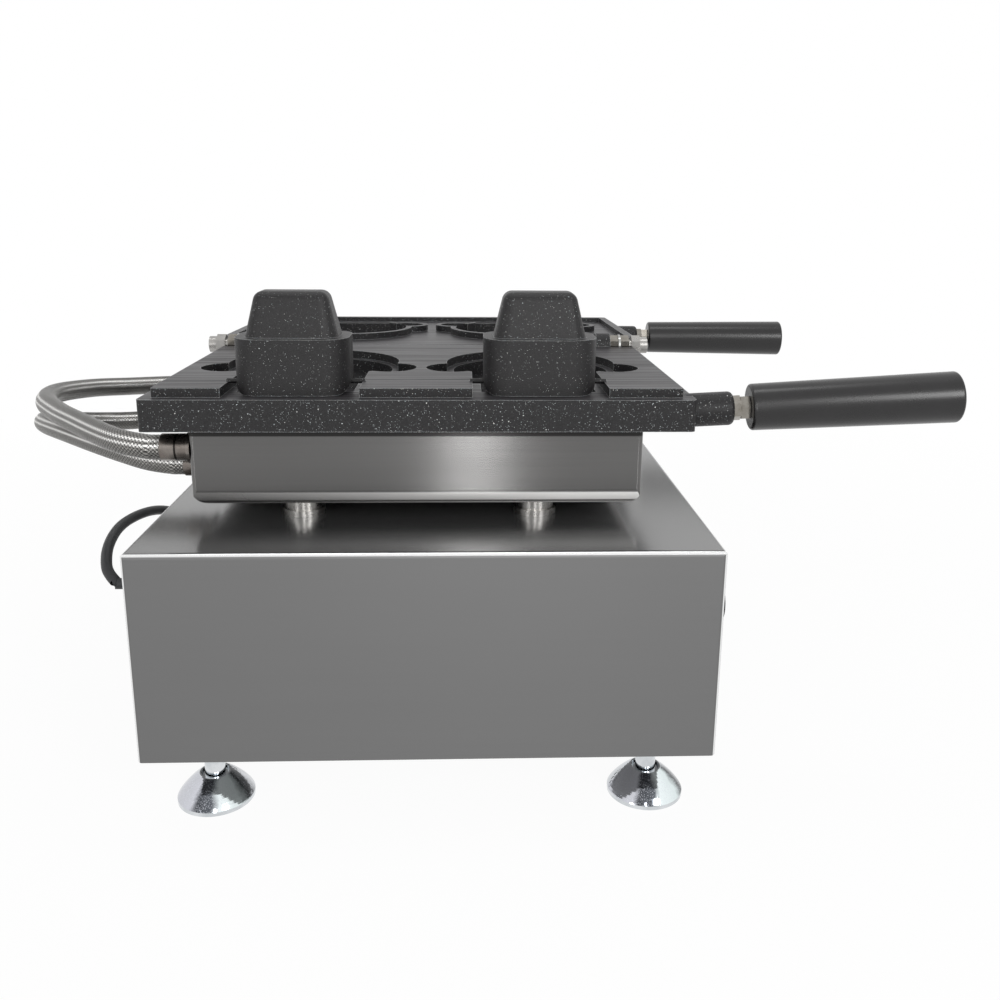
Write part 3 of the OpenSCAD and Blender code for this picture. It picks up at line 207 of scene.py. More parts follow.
def brushed(name, color, rough, grain=0.10, smudge=0.06, gloss_spread=1.0,
            top=None, bend=None, shine=2.6, level_bends=None, rim_shade=None):
    """Sheet metal with its grain along x, and along y on its end faces.

    top is (lighter by, roughness) of the level faces: their colour is painted lighter, as painted light from
    above, and they keep a little less metal. bend is the turn of the normal at which a painted highlight on the
    folds starts, is full, starts to fade and is gone; shine is how bright it is painted. level_bends keeps the
    painted highlight to the level folds, and gives the two x between which it grows. rim_shade gives the heights
    between which a painted shade darkens the sheet towards its top, where the part over it would shade it."""
    s = Shader(name, color, rough, 1.0, Anisotropic=gloss_spread)
    nx, ny, nz = (s.math("ABSOLUTE", n) for n in s.normal())
    end, flat = s.ramp(nx, 0.6, 0.8), s.ramp(nz, 0.6, 0.8)
    along_x = s.noise((GRAIN_ALONG, GRAIN_ACROSS, GRAIN_ACROSS), 3.0, 0.6)
    along_y = s.noise((GRAIN_ACROSS, GRAIN_ALONG, GRAIN_ACROSS), 3.0, 0.6)
    streak = s.mix(end, along_x, along_y)
    cloud = s.noise((9, 14, 14), 2.0)
    tone = s.math("ADD", s.span(streak, -grain, grain), s.span(cloud, -smudge, smudge))
    shade = s.math("ADD", tone, 0.5)
    base = s.blend_color(shade, lighter(color, GRAIN_DARK), lighter(color, GRAIN_BRIGHT))
    roughness = s.math("ADD", s.span(streak, -0.04, 0.04), rough)
    # Painted light: the level faces get a lighter copy of the sheet's colour, as if lit from above, and a little
    # less metal
    if top:
        raised = s.blend_color(shade, lighter(color, GRAIN_DARK * top[0]),
                               lighter(color, GRAIN_BRIGHT * top[0]))
        base = s.blend_color(flat, base, raised)
        roughness = s.mix(flat, roughness, top[1])
        s.set("Metallic", s.math("SUBTRACT", 1.0, s.math("MULTIPLY", flat, 0.15)))
    # Painted highlight: the folds whose normal turns by bend get a lighter colour and less metal, standing in for
    # the light that they catch
    if bend:
        turn = s.math("SUBTRACT", 1.0, s.math("MAXIMUM", s.math("MAXIMUM", nx, ny), nz))
        fold_highlight = s.math("MULTIPLY", s.ramp(turn, bend[0], bend[1]), s.ramp(turn, bend[3], bend[2]))
        if level_bends:
            along = s.node("SeparateXYZ", {0: s.coords()}).outputs[0]
            fold_highlight = s.math("MULTIPLY", s.math("MULTIPLY", fold_highlight, s.ramp(nz, 0.08, 0.20)),
                          s.node("MapRange", {"Value": along, "From Min": level_bends[0],
                                              "From Max": level_bends[1], "To Min": 0.25})
                          .outputs["Result"])
            s.set("Metallic", s.math("SUBTRACT", 1.0, s.math("MULTIPLY", fold_highlight, 0.85)))
        base = s.blend_color(fold_highlight, base, lighter(color, shine))
        roughness = s.mix(fold_highlight, roughness, min(rough, 0.22))
    # Painted shade: the sheet darkens towards its top, standing in for the shadow of the plate over it
    if rim_shade:
        height = s.node("SeparateXYZ", {0: s.coords()}).outputs[2]
        base = s.blend_color(s.ramp(height, *rim_shade), base, lighter(color, 0.22))
    s.color(base)
    s.set("Roughness", roughness)
    # The gloss spreads across the grain: upright on the walls, front to back on the top
    s.set("Tangent", s.node("CombineXYZ", {1: flat, 2: s.math("SUBTRACT", 1.0, flat)}).outputs[0])
    s.bump(streak, 0.10, 0.0001)
    return s.mat


def turned_steel(name, color, rough, stained=None, groove=None):
    """Machined or plated fastener steel with faint scratches and stains.

    stained is the colour of the stains. groove gives two distances from the middle, along x,
    between which a dark line runs around."""
    s = Shader(name, color, rough, 1.0)
    scratches = s.noise(700.0, 3.0, 0.6)
    stain = s.noise(120.0, 3.0, 0.6)
    base = s.blend_color(s.ramp(stain, 0.35, 0.7), color, stained or lighter(color, 0.7))
    tone = s.blend_color(s.span(scratches, 0.0, 0.35), base, lighter(color, 1.25))
    if groove:
        along = s.math("ABSOLUTE", s.node("SeparateXYZ", {0: s.coords()}).outputs[0])
        inside = s.math("MULTIPLY", s.math("GREATER_THAN", along, groove[0]),
                        s.math("LESS_THAN", along, groove[1]))
        tone = s.blend_color(inside, tone, lighter(color, 0.12))
    s.color(tone)
    s.set("Roughness", s.span(stain, rough - 0.06, rough + 0.12))
    s.bump(scratches, 0.15, 0.0001)
    return s.mat


def chromed(name):
    """Polished chrome whose slanted faces carry a painted reflection: light, dark and grey bands painted around
    them, flecked with bright specks.
    """
    s = Shader(name, (0.62, 0.64, 0.65), 0.10, 1.0)
    nx, ny, nz = s.normal()
    haze = s.noise(90.0, 3.0, 0.6)
    specks = s.ramp(s.noise(1500.0, 2.0, 0.6), 0.52, 0.66)
    # Painted reflection: the colour follows which way each slanted face turns, standing in for what the chrome
    # mirrors
    around = s.math("ADD", s.math("ARCTAN2", ny, nx), s.span(haze, -0.22, 0.22))
    slant = s.math("MULTIPLY", s.ramp(nz, 0.12, 0.35), s.ramp(nz, 0.97, 0.85))
    bands = s.node("ValToRGB", {0: s.ramp(around, -math.pi, math.pi)})
    stops = bands.color_ramp.elements
    for at, tone in ((0.10, (0.55, 0.56, 0.60)), (0.165, (0.60, 0.61, 0.66)),
                     (0.195, (0.070, 0.074, 0.084)), (0.265, (0.10, 0.11, 0.125)),
                     (0.30, (0.86, 0.93, 0.94)), (0.40, (0.74, 0.82, 0.82)),
                     (0.45, (0.05, 0.055, 0.057)), (0.55, (0.62, 0.63, 0.65)),
                     (0.70, (0.14, 0.15, 0.16)), (0.85, (0.58, 0.60, 0.62))):
        stops.new(at).color = (*tone, 1)
    # The ramp comes with a stop at either end
    stops.remove(stops[0])
    stops.remove(stops[len(stops) - 1])
    shade = s.blend_color(s.math("MULTIPLY", specks, 0.55), bands.outputs[0], (0.72, 0.74, 0.80))
    base = s.blend_color(s.ramp(haze, 0.4, 0.75), (0.70, 0.72, 0.74), (0.52, 0.55, 0.57))
    s.color(s.blend_color(slant, base, shade))
    s.set("Roughness", s.span(haze, 0.05, 0.16))
    s.bump(s.noise(1300.0, 2.0, 0.5), 0.08, 0.0002)
    return s.mat


FLAKE_REACH = 0.26


def flakes(s, size, share, power):
    """Flakes in cells about size wide: each one's brightness, and a second value for its tint.

    share is how many cells hold one, and power how many of them are dim."""
    cell = s.node("TexVoronoi", {"Vector": s.coords(), "Scale": 1.0 / size, "Randomness": 1.0})
    parts = s.node("SeparateColor", {0: cell.outputs["Color"]}).outputs
    chosen = s.math("GREATER_THAN", parts[0], 1.0 - share)
    near = s.math("LESS_THAN", cell.outputs["Distance"], FLAKE_REACH)
    value = s.math("POWER", parts[2], power)
    return s.math("MULTIPLY", s.math("MULTIPLY", chosen, near), value), parts[1]


def cast_coat(name, dark, fine, coarse, gloss, machined):
    """Black non-stick coat on a casting: fine grit and bright flakes, streaked where machined.

    fine and coarse are (size, share, power) of two kinds of flakes."""
    s = Shader(name, dark, 0.42, 0.0, Specular_IOR_Level=gloss)
    small, tint_share = flakes(s, *fine)
    big, _ = flakes(s, *coarse)
    patch = s.ramp(s.noise(70.0, 3.0, 0.6), 0.30, 0.62)
    bright = s.math("MULTIPLY", s.math("MAXIMUM", small, big), s.span(patch, 0.45, 1.0))
    tint = s.blend_color(tint_share, (0.70, 0.80, 0.84), (0.94, 0.90, 0.86))
    grit = s.noise(1700.0, 2.0, 0.6)
    base = s.blend_color(s.ramp(grit, 0.3, 0.75), lighter(dark, 0.5), lighter(dark, 2.2))
    rough = s.span(grit, 0.36, 0.55)
    relief = grit
    if machined:
        flat = s.facing(2, 0.93, 0.99)
        keep = s.math("SUBTRACT", 1.0, flat)
        streak = s.ramp(s.noise((8, 560, 560), 4.0, 0.7), 0.32, 0.68)
        plain = s.blend_color(streak, lighter(dark, 1.5), lighter(dark, 7.5))
        bright = s.math("MULTIPLY", bright, keep)
        base = s.blend_color(flat, base, plain)
        rough = s.mix(flat, rough, s.span(streak, 0.42, 0.30))
        s.set("Specular IOR Level", s.mix(flat, gloss, s.span(streak, 0.02, 0.16)))
        relief = s.math("MULTIPLY", grit, keep)
    # A bright speckled line along the edges: partly worn bare metal, partly a painted highlight where the edges
    # catch the light
    soft = s.node("Bevel", {"Radius": 0.0007}, samples=4).outputs[0]
    sharp = s.node("NewGeometry").outputs["Normal"]
    along = s.node("VectorMath", {0: soft, 1: sharp}, operation="DOT_PRODUCT").outputs["Value"]
    edge = s.math("MULTIPLY", s.ramp(along, 0.985, 0.86), s.ramp(grit, 0.25, 0.6))
    bright = s.math("MAXIMUM", bright, s.math("MULTIPLY", edge, 0.42))
    s.color(s.blend_color(bright, base, tint))
    s.set("Roughness", s.mix(bright, rough, 0.25))
    s.set("Metallic", s.math("MULTIPLY", bright, 0.9))
    s.bump(relief, 0.45, 0.0003)
    return s.mat


def moulded(name, color, rough, grit=500.0, depth=0.25, gloss=0.5, wear=0.10):
    """Moulded plastic with a fine grain and slight wear."""
    s = Shader(name, color, rough, 0.0, Specular_IOR_Level=gloss)
    grain = s.noise(grit, 3.0, 0.6)
    rub = s.noise(35.0, 4.0, 0.65)
    s.color(s.blend_color(s.ramp(rub, 0.45, 0.8), color, lighter(color, 1.5)))
    s.set("Roughness", s.span(rub, rough - wear / 2, rough + wear))
    s.bump(grain, depth, 0.0002)
    return s.mat


def lens(name, color):
    """Clear-coated coloured plastic with faint ribs."""
    s = Shader(name, color, 0.12, 0.0, Specular_IOR_Level=0.6)
    ribs = s.noise(900.0, 1.0)
    s.color(s.blend_color(ribs, lighter(color, 0.6), lighter(color, 1.3)))
    s.bsdf.inputs["Coat Weight"].default_value = 0.6
    return s.mat


def braid_metal(name):
    """Woven wire: fine wires along each strand, with painted shade in the valleys between strands and between the
    wires, painted light and shade by which way the sleeve faces, and painted highlights along two lines.
    """
    s = Shader(name, (0.3, 0.3, 0.3), 0.22, 1.0)
    lane = s.node("Attribute", attribute_name="braid_lane").outputs["Fac"]
    height = s.node("Attribute", attribute_name="braid_height").outputs["Fac"]
    wires = s.math("SINE", s.math("MULTIPLY", lane, 2 * math.pi * 3))
    # Painted shade: near black in the valleys between strands, and darker between the wires
    tone = s.math("MULTIPLY", s.span(wires, 0.75, 1.0), s.ramp(height, 0.52, 0.98))
    # Painted light and shade: the metal is lighter where the sleeve faces sideways and darker towards its top and
    # underside
    side = s.node("Attribute", attribute_name="braid_painted_light").outputs["Fac"]
    metal = s.blend_color(side, (0.28, 0.272, 0.257), (0.34, 0.332, 0.316))
    woven = s.blend_color(tone, (0.006, 0.006, 0.006), metal)
    # Painted highlights: two bright lines along the sleeve's upper front, dotted by the weave
    glint = s.node("Attribute", attribute_name="braid_painted_glint").outputs["Fac"]
    painted_glint = s.math("MULTIPLY", glint, s.span(s.ramp(height, 0.55, 0.9), 0.25, 1.0))
    s.color(s.blend_color(painted_glint, woven, (1.0, 0.99, 0.97)))
    s.set("Roughness", s.span(s.noise(300.0, 2.0), 0.18, 0.30))
    s.bump(wires, 0.35, 0.0002)
    return s.mat


def fibre(name, color):
    """Felt with its fibres lying level."""
    s = Shader(name, color, 0.9)
    fluff = s.noise((500, 500, 1500), 4.0, 0.7)
    s.color(s.blend_color(fluff, lighter(color, 0.7), lighter(color, 1.15)))
    s.bump(fluff, 0.8, 0.0006)
    return s.mat


MATERIALS = {
    # housing_steel: level faces painted lighter and a painted highlight on its folds. pan_steel: a painted
    # highlight on its level folds and a painted shade along its top
    "housing_steel": brushed("housing_steel", (0.163, 0.163, 0.163), 0.50, grain=0.02,
                             smudge=0.015, gloss_spread=0.4, top=(1.42, 0.19),
                             bend=(0.10, 0.18, 0.30, 0.38), shine=5.0),
    "tray_steel": brushed("tray_steel", (0.24, 0.24, 0.24), 0.38, grain=0.08),
    "panel_steel": brushed("panel_steel", (0.26, 0.26, 0.265), 0.32, grain=0.08),
    "pan_steel": brushed("pan_steel", (0.150, 0.148, 0.146), 0.24, grain=0.07,
                         bend=(0.004, 0.02, 0.20, 0.29), shine=5.4, level_bends=(-0.13, 0.08),
                         rim_shade=(0.2262, 0.2270)),
    "plated_steel": turned_steel("plated_steel", (0.42, 0.42, 0.41), 0.24),
    "standoff_steel": turned_steel("standoff_steel", (0.40, 0.39, 0.375), 0.25),
    "nut_zinc": turned_steel("nut_zinc", (0.30, 0.285, 0.260), 0.15,
                             stained=(0.17, 0.155, 0.13)),
    "ferrule_nickel": turned_steel("ferrule_nickel", (0.21, 0.19, 0.175), 0.24,
                                   stained=(0.12, 0.102, 0.090), groove=(0.1508, 0.1520)),
    "heater_sheath": turned_steel("heater_sheath", (0.25, 0.23, 0.21), 0.45),
    "bulb_copper": turned_steel("bulb_copper", (0.60, 0.33, 0.20), 0.30),
    "foot_chrome": chromed("foot_chrome"),
    "mould_coating": cast_coat("mould_coating", (0.0092, 0.0088, 0.0094),
                               fine=(0.00070, 0.42, 2.8), coarse=(0.0012, 0.06, 0.9),
                               gloss=0.28, machined=True),
    "core_coating": cast_coat("core_coating", (0.0095, 0.0090, 0.0095),
                              fine=(0.0006, 0.30, 4.6), coarse=(0.0011, 0.005, 1.4),
                              gloss=0.30, machined=False),
    "control_body_plastic": moulded("control_body_plastic", (0.62, 0.60, 0.54), 0.5),
    "knob_plastic": moulded("knob_plastic", (0.012, 0.012, 0.013), 0.34),
    "switch_plastic": moulded("switch_plastic", (0.010, 0.010, 0.011), 0.22, depth=0.1),
    "rocker_plastic": lens("rocker_plastic", (0.42, 0.014, 0.010)),
    "lamp_lens": lens("lamp_lens", (0.62, 0.035, 0.014)),
    "terminal_plastic": moulded("terminal_plastic", (0.70, 0.68, 0.60), 0.55),
    "insulation_felt": fibre("insulation_felt", (0.66, 0.63, 0.55)),
    "grip_plastic": moulded("grip_plastic", (0.0090, 0.0085, 0.0090), 0.27,
                            grit=900.0, depth=0.03, gloss=0.47, wear=0.02),
    "hose_braid": braid_metal("hose_braid"),
    "cord_rubber": moulded("cord_rubber", (0.020, 0.021, 0.023), 0.48,
                           grit=900.0, depth=0.2, gloss=0.4),
    "plug_plastic": moulded("plug_plastic", (0.014, 0.014, 0.016), 0.42, grit=800.0),
}


def dress(obj, slot):
    obj.data.materials.clear()
    obj.data.materials.append(MATERIALS[slot])


for part in frame["record"]["subparts"]:
    dress(frame["nodes"][part["node"]], part["material_slot"])


# Mesh helpers

def mesh_object(name, verts, faces, smooth=True):
    """A mesh from points in millimetres."""
    data = bpy.data.meshes.new(name)
    data.from_pydata([tuple(v) for v in np.asarray(verts, float) * MM], [], faces)
    data.validate()
    if smooth:
        data.shade_smooth()
    obj = bpy.data.objects.new(name, data)
    scene.collection.objects.link(obj)
    return obj


def finish_piece(obj, slot, body="base", stands_for=()):
    """Give a piece its material, the nodes that it replaces and the body that it rides."""
    dress(obj, slot)
    if stands_for:
        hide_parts(*stands_for)
    if body:
        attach(obj, body)


def spline(points, steps):
    """Smooth curve from the second point to the last but one."""
    p = np.asarray(points, float)
    out = []
    for i in range(1, len(p) - 2):
        a, b, c, d = p[i - 1:i + 3]
        for k in range(steps):
            t = k / steps
            out.append(0.5 * (2 * b + (c - a) * t + (2 * a - 5 * b + 4 * c - d) * t * t
                              + (3 * b - a - 3 * c + d) * t ** 3))
    out.append(p[-2])
    return np.array(out)


def resample(points, step):
    """Points at even steps along a line, and how far along it each one is."""
    p = np.asarray(points, float)
    run = np.concatenate([[0], np.cumsum(np.linalg.norm(np.diff(p, axis=0), axis=1))])
    count = max(2, int(round(run[-1] / step)) + 1)
    at = np.linspace(0, run[-1], count)
    return np.stack([np.interp(at, run, p[:, k]) for k in range(3)], 1), at


def sides_of(points):
    """Two directions square to a line at each of its points, without twist."""
    tangent = np.gradient(points, axis=0)
    tangent /= np.linalg.norm(tangent, axis=1)[:, None]
    n = np.array([0.0, 0.0, 1.0])
    ns = []
    for t in tangent:
        n = n - (n @ t) * t
        n /= np.linalg.norm(n)
        ns.append(n)
    ns = np.array(ns)
    return ns, np.cross(tangent, ns)


def tube_faces(rows, sides):
    """Faces of a closed skin over rings of points, with a cap at either end."""
    faces = []
    for i in range(rows - 1):
        for k in range(sides):
            a, b = i * sides + k, i * sides + (k + 1) % sides
            faces.append((a, b, b + sides, a + sides))
    faces.append(tuple(range(sides - 1, -1, -1)))
    faces.append(tuple((rows - 1) * sides + k for k in range(sides)))
    return faces


def tube(name, points, radius, sides):
    """A round tube along points. radius is one number, or one for each point and side."""
    ns, bs = sides_of(points)
    angle = np.linspace(0, 2 * math.pi, sides, endpoint=False)
    r = np.broadcast_to(np.asarray(radius, float), (len(points), sides))
    ring = (points[:, None, :]
            + (r * np.cos(angle))[:, :, None] * ns[:, None, :]
            + (r * np.sin(angle))[:, :, None] * bs[:, None, :])
    return mesh_object(name, ring.reshape(-1, 3), tube_faces(len(points), sides))


# Mains cord

CORD_D, CORD_SIDES = 7.2, 20
CORD_POINTS = [(-204, 89, 123), (-212, 98, 128), (-219, 120, 134), (-223, 150, 137),
               (-223, 180, 136), (-219, 215, 131), (-213, 250, 119), (-206, 286, 96),
               (-199, 320, 66), (-190, 348, 36), (-180, 368, 14)]
GLAND = np.array((-168.0, 88.0, 122.0))
GLAND_LEN = 28.0
CORD_EXIT = GLAND - (GLAND_LEN, 0, 0)
COIL_CENTRE, COIL_R, COIL_PITCH, COIL_IN, COIL_CLIMB = (-122, 398), 32, 8, 2, 0.5
COIL_OUT = COIL_IN - 0.25
COIL_TAIL = 22.0
COIL_LIFT, LAYER_GAP = 0.2, 0.6


def coil_point(turn):
    """The coil winds inwards on the table, climbs over itself and winds out again on top."""
    c = min(max(turn - COIL_IN, 0), COIL_CLIMB)
    share = c / COIL_CLIMB
    inwards, outwards = min(turn, COIL_IN), max(turn - COIL_IN - COIL_CLIMB, 0)
    r = COIL_R + COIL_PITCH * (COIL_IN - inwards + outwards - c * (1 - share))
    angle = math.radians(180 - 360 * turn)
    return (COIL_CENTRE[0] + r * math.cos(angle), COIL_CENTRE[1] + r * math.sin(angle),
            CORD_D / 2 + COIL_LIFT + (CORD_D + LAYER_GAP) * share * share * (3 - 2 * share))


def cord_line():
    """The cord's points, from the gland to the table, around the coil and to the plug."""
    rings = 24
    total = COIL_IN + COIL_CLIMB + COIL_OUT
    turns = np.array([coil_point(i / rings) for i in range(int(rings * total) + 1)])
    start = turns[0] - (0, CORD_D, 0)
    end = turns[-1] + (COIL_TAIL, 0, 0)
    run = spline([CORD_EXIT, CORD_EXIT - (CORD_D, 0, 0), *CORD_POINTS,
                  start - (0, CORD_D, 0), start], 2)
    line = np.concatenate([[CORD_EXIT], run, [start], turns,
                           [turns[-1] + (CORD_D, 0, 0), end]])
    return line + ORIGIN


def make_cord():
    line = cord_line()
    smooth = spline([line[0], *line, line[-1]], 3)
    obj = tube("mains_lead", smooth, CORD_D / 2, CORD_SIDES)
    finish_piece(obj, "cord_rubber", "base", ("mains_cord", "mains_cord_coil"))
    length = float(np.linalg.norm(np.diff(smooth, axis=0), axis=1).sum()) * MM
    return obj, line, smooth, length


lead, cord_path, cord_smooth, cord_length = make_cord()


def rounded_box(name, lo, hi, radius):
    """A box with rounded edges, from corner to corner."""
    bm = bmesh.new()
    bmesh.ops.create_cube(bm, size=1)
    lo, hi = np.array(lo, float), np.array(hi, float)
    for v in bm.verts:
        v.co = Vector((lo + hi) / 2 + np.array(v.co) * (hi - lo)) * MM
    bmesh.ops.bevel(bm, geom=bm.edges[:], offset=radius * MM, segments=2,
                    affect="EDGES", profile=0.5)
    data = bpy.data.meshes.new(name)
    bm.to_mesh(data)
    bm.free()
    data.shade_smooth()
    obj = bpy.data.objects.new(name, data)
    scene.collection.objects.link(obj)
    return obj


def loft_x(name, stations):
    """A closed skin along x through sections (x, half width, half height, power)."""
    sides = 40
    angle = np.linspace(0, 2 * math.pi, sides, endpoint=False)
    rows = []
    for x, w, h, power in stations:
        c, s = np.cos(angle), np.sin(angle)
        rows.append(np.stack([np.full(sides, x), w * np.sign(c) * np.abs(c) ** (2 / power),
                              h * np.sign(s) * np.abs(s) ** (2 / power)], 1))
    return mesh_object(name, np.concatenate(rows), tube_faces(len(stations), sides))


def joined(name, parts):
    """Several meshes as one."""
    bm = bmesh.new()
    for part in parts:
        data = part.data.copy()
        data.transform(part.matrix_world)
        bm.from_mesh(data)
        bpy.data.meshes.remove(data)
        bpy.data.objects.remove(part)
    data = bpy.data.meshes.new(name)
    bm.to_mesh(data)
    bm.free()
    obj = bpy.data.objects.new(name, data)
    scene.collection.objects.link(obj)
    return obj


def make_plug():
    """Moulded plug with a ribbed relief and two flat blades, heading along +x."""
    end = cord_path[-1]
    relief, body_len, half_w = 24.0, 34.0, 12.5
    blade, blade_at, blade_half_t, blade_half_w = 17.0, 6.35, 0.8, 3.2
    lo, hi = box_mm("mains_plug")[:2]
    half_h = (hi[2] - lo[2]) / 2
    stations = [(0.0, 4.6, 4.6, 2.0)]
    ribs = 5
    for i in range(ribs):
        x0, x1 = relief * (i + 0.15) / ribs, relief * (i + 0.75) / ribs
        r = 4.8 + 2.0 * (i + 0.5) / ribs
        stations += [(x0, r - 0.9, r - 0.9, 2.0), (x0 + 0.5, r, r, 2.0), (x1, r, r, 2.0),
                     (x1 + 0.5, r - 0.9, r - 0.9, 2.0)]
    for share, w, h, power in ((0.0, 6.6, 6.6, 2.2), (0.06, 9.2, 8.2, 2.6), (0.2, 11.6, 9.8, 3.4),
                               (0.4, 12.3, half_h - 0.5, 4.0), (0.62, 11.4, half_h - 1.2, 4.0),
                               (0.8, 12.2, half_h - 0.3, 4.5), (0.95, half_w, half_h, 5.0),
                               (1.0, half_w - 0.8, half_h - 0.8, 5.0)):
        stations.append((relief + body_len * share, w, h, power))
    body = loft_x("plug_body", stations)
    body.location = Vector(end) * MM
    bpy.context.view_layer.update()
    finish_piece(body, "plug_plastic", "base", ("mains_plug",))
    blades = []
    for side in (-1, 1):
        x0 = end[0] + relief + body_len - 1
        y = end[1] + side * blade_at
        blades.append(rounded_box("blade", (x0, y - blade_half_t, end[2] - blade_half_w),
                                  (x0 + blade + 1, y + blade_half_t, end[2] + blade_half_w),
                                  0.5))
    pins = joined("plug_blades", blades)
    finish_piece(pins, "nut_zinc", "base")
    return body, pins


plug, blades = make_plug()


# Braided hoses

HOSE_D = 15.0
FERRULE_END = box_mm("lower_ferrules")[0][0] - ORIGIN[0]
PLATE_FRONT = box_mm("lower_plate")[0][1] - ORIGIN[1]
# The cores' pins lie in the plane in which the two plates meet
MATE_Z = joints["core_left_tilt"]["pos_m"][2] / MM
HINGE_Y, HINGE_Z = np.array(joints["lid_hinge"]["pos_m"][1:]) / MM - ORIGIN[1:]
OPEN = -math.radians(joints["lid_hinge"]["range_deg"][1])
BRAID_DEPTH, BRAID_STEP, BRAID_SIDES = 0.32, 0.55, 96
CARRIERS, TURN_LEN = 18, 44.0
STRAND_LIFT, STRAND_CROWN = 0.5, 0.55
# Whole strands that keep the count of the second direction above zero. They are even, so that
# they leave over and under as they are
STRANDS_BEFORE = 400
PAINTED_GLINT_LINES = ((0.69, 0.09), (0.27, 0.10))
UPPER_HOSE = [(-186, 74, 219), (-204, 90, 220), (-228, 117, 221), (-254, 150, 221),
              (-281, 195, 220), (-294, 245, 217), (-286, 295, 212), (-264, 326, 208),
              (-236, 352, 205), (-202, 374, 202)]
LOWER_HOSE = [(-186, 118, 197), (-206, 130, 199), (-231, 149, 201), (-259, 175, 202),
              (-288, 210, 200), (-302, 240, 196), (-299, 268, 190), (-282, 295, 184),
              (-257, 313, 181), (-226, 328, 182), (-200, 336, 186)]


def hose_end(back, depth):
    """Where a hose leaves the lower pan: behind the plate's front and below where plates meet."""
    return np.array((FERRULE_END, PLATE_FRONT + back, MATE_Z - depth))


def lid_end(back, depth):
    """The same place on the lid's pan, with the lid open."""
    y = PLATE_FRONT + back - HINGE_Y
    z = HINGE_Z - (MATE_Z - depth)
    return np.array((FERRULE_END, HINGE_Y + y * math.cos(OPEN) - z * math.sin(OPEN),
                     HINGE_Z + y * math.sin(OPEN) + z * math.cos(OPEN)))


def strands(count):
    """For a count of strands: how far across one it is, 1 or -1 by turns, and its round height."""
    whole = np.floor(count)
    across = count - whole
    return across, 1 - 2 * (whole % 2), np.sqrt(np.clip(1 - (1.9 * across - 0.95) ** 2, 0, 1))


def weave(run, angle):
    """Height of a woven sleeve, and how far across the strand on top, along it and around it.

    Each strand passes over and under the ones that cross it."""
    around = CARRIERS * angle[None, :] / (2 * math.pi)
    along = CARRIERS * run[:, None] / TURN_LEN
    across_a, sign_a, crown_a = strands(around + along)
    across_b, sign_b, crown_b = strands(around - along + STRANDS_BEFORE)
    rise_a = sign_a * np.sin(math.pi * across_b) * sign_b * STRAND_LIFT + STRAND_CROWN * crown_a
    rise_b = -sign_a * np.sin(math.pi * across_a) * sign_b * STRAND_LIFT + STRAND_CROWN * crown_b
    height = np.clip(np.maximum(rise_a, rise_b), 0, 1)
    return height, np.where(rise_a >= rise_b, across_a, across_b)


def make_hose(name, node, start, middle, end):
    """Hose with a woven wire sleeve, which bends between the housing and the lid."""
    step = (HOSE_D / 2, 0, 0)
    line = np.concatenate([[start], spline([start, start - step, *middle, end - step, end], 12),
                           [end]]) + ORIGIN
    keep = np.concatenate([[True], np.linalg.norm(np.diff(line, axis=0), axis=1) > 1e-6])
    line, run = resample(line[keep], BRAID_STEP)
    angle = np.linspace(0, 2 * math.pi, BRAID_SIDES, endpoint=False)
    height, lane = weave(run, angle)
    obj = tube(name, line, HOSE_D / 2 - BRAID_DEPTH * (1 - height), BRAID_SIDES)
    ns, bs = sides_of(line)
    normal = (np.cos(angle)[None, :, None] * ns[:, None, :]
              + np.sin(angle)[None, :, None] * bs[:, None, :])
    up, front = normal[:, :, 2], -normal[:, :, 1]
    # Painted highlights along two lines of the sleeve's upper front, and painted shade that darkens its metal
    # towards its top and its underside
    shine = np.max([np.exp(-((up - at) / width) ** 2) for at, width in PAINTED_GLINT_LINES], axis=0)
    shine = shine * np.clip((front + 0.25) / 0.4, 0, 1)
    painted_light_and_shade = np.clip(0.35 + 0.65 * np.sin(math.pi * np.clip((up + 0.75) / 1.6, 0, 1)), 0, 1)
    for key, value in (("braid_lane", lane), ("braid_height", height),
                       ("braid_painted_glint", shine), ("braid_painted_light", painted_light_and_shade)):
        layer = obj.data.attributes.new(key, "FLOAT", "POINT")
        layer.data.foreach_set("value", value.astype(np.float32).ravel())
    finish_piece(obj, "hose_braid", None, (node,))
    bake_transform(obj)


make_hose("wire_hose_upper", "hose_upper", hose_end(30, 40), UPPER_HOSE, lid_end(30, 55))
make_hose("wire_hose_lower", "hose_lower", hose_end(76, 62), LOWER_HOSE, lid_end(76, 62))


# Marks, flutes and ribs

INK, SINK = 0.12, 0.02
RAISED = INK / 2 - SINK
LETTERS = 4.2
TICK_FROM, TICK_SHORT, TICK_LONG = 22, 23.4, 24.6
TICK_THIN, TICK_WIDE, TICKS_PER_LABEL = 0.3, 0.55, 5
LABEL_ACROSS, LABEL_UP = 28.6, 27.6
POINTER_LINE = (5.2, 13.6, 1.3)
FLUTE_PITCHES = 24
FLUTE_FOOT, FLUTE_TIP = (16.4, 14.4), (1.6, 13.3)
FLUTE_PROFILE = ((-0.8, 0.9), (0.75, 0.45))
FACE_RIGHT = Matrix(((0, 0, 1), (1, 0, 0), (0, 1, 0))).to_4x4()
FACE_LEFT = Matrix(((0, 0, -1), (-1, 0, 0), (0, 1, 0))).to_4x4()


def text_mesh(text, size):
    """Raised letters around the origin, in millimetres."""
    curve = bpy.data.curves.new("mark", "FONT")
    curve.body, curve.size, curve.extrude, curve.resolution_u = text, size, INK / 2, 3
    curve.align_x, curve.align_y = "CENTER", "CENTER"
    holder = bpy.data.objects.new("mark", curve)
    scene.collection.objects.link(holder)
    bpy.context.view_layer.update()
    data = bpy.data.meshes.new_from_object(holder)
    bpy.data.objects.remove(holder)
    bpy.data.curves.remove(curve)
    data.materials.clear()
    return data


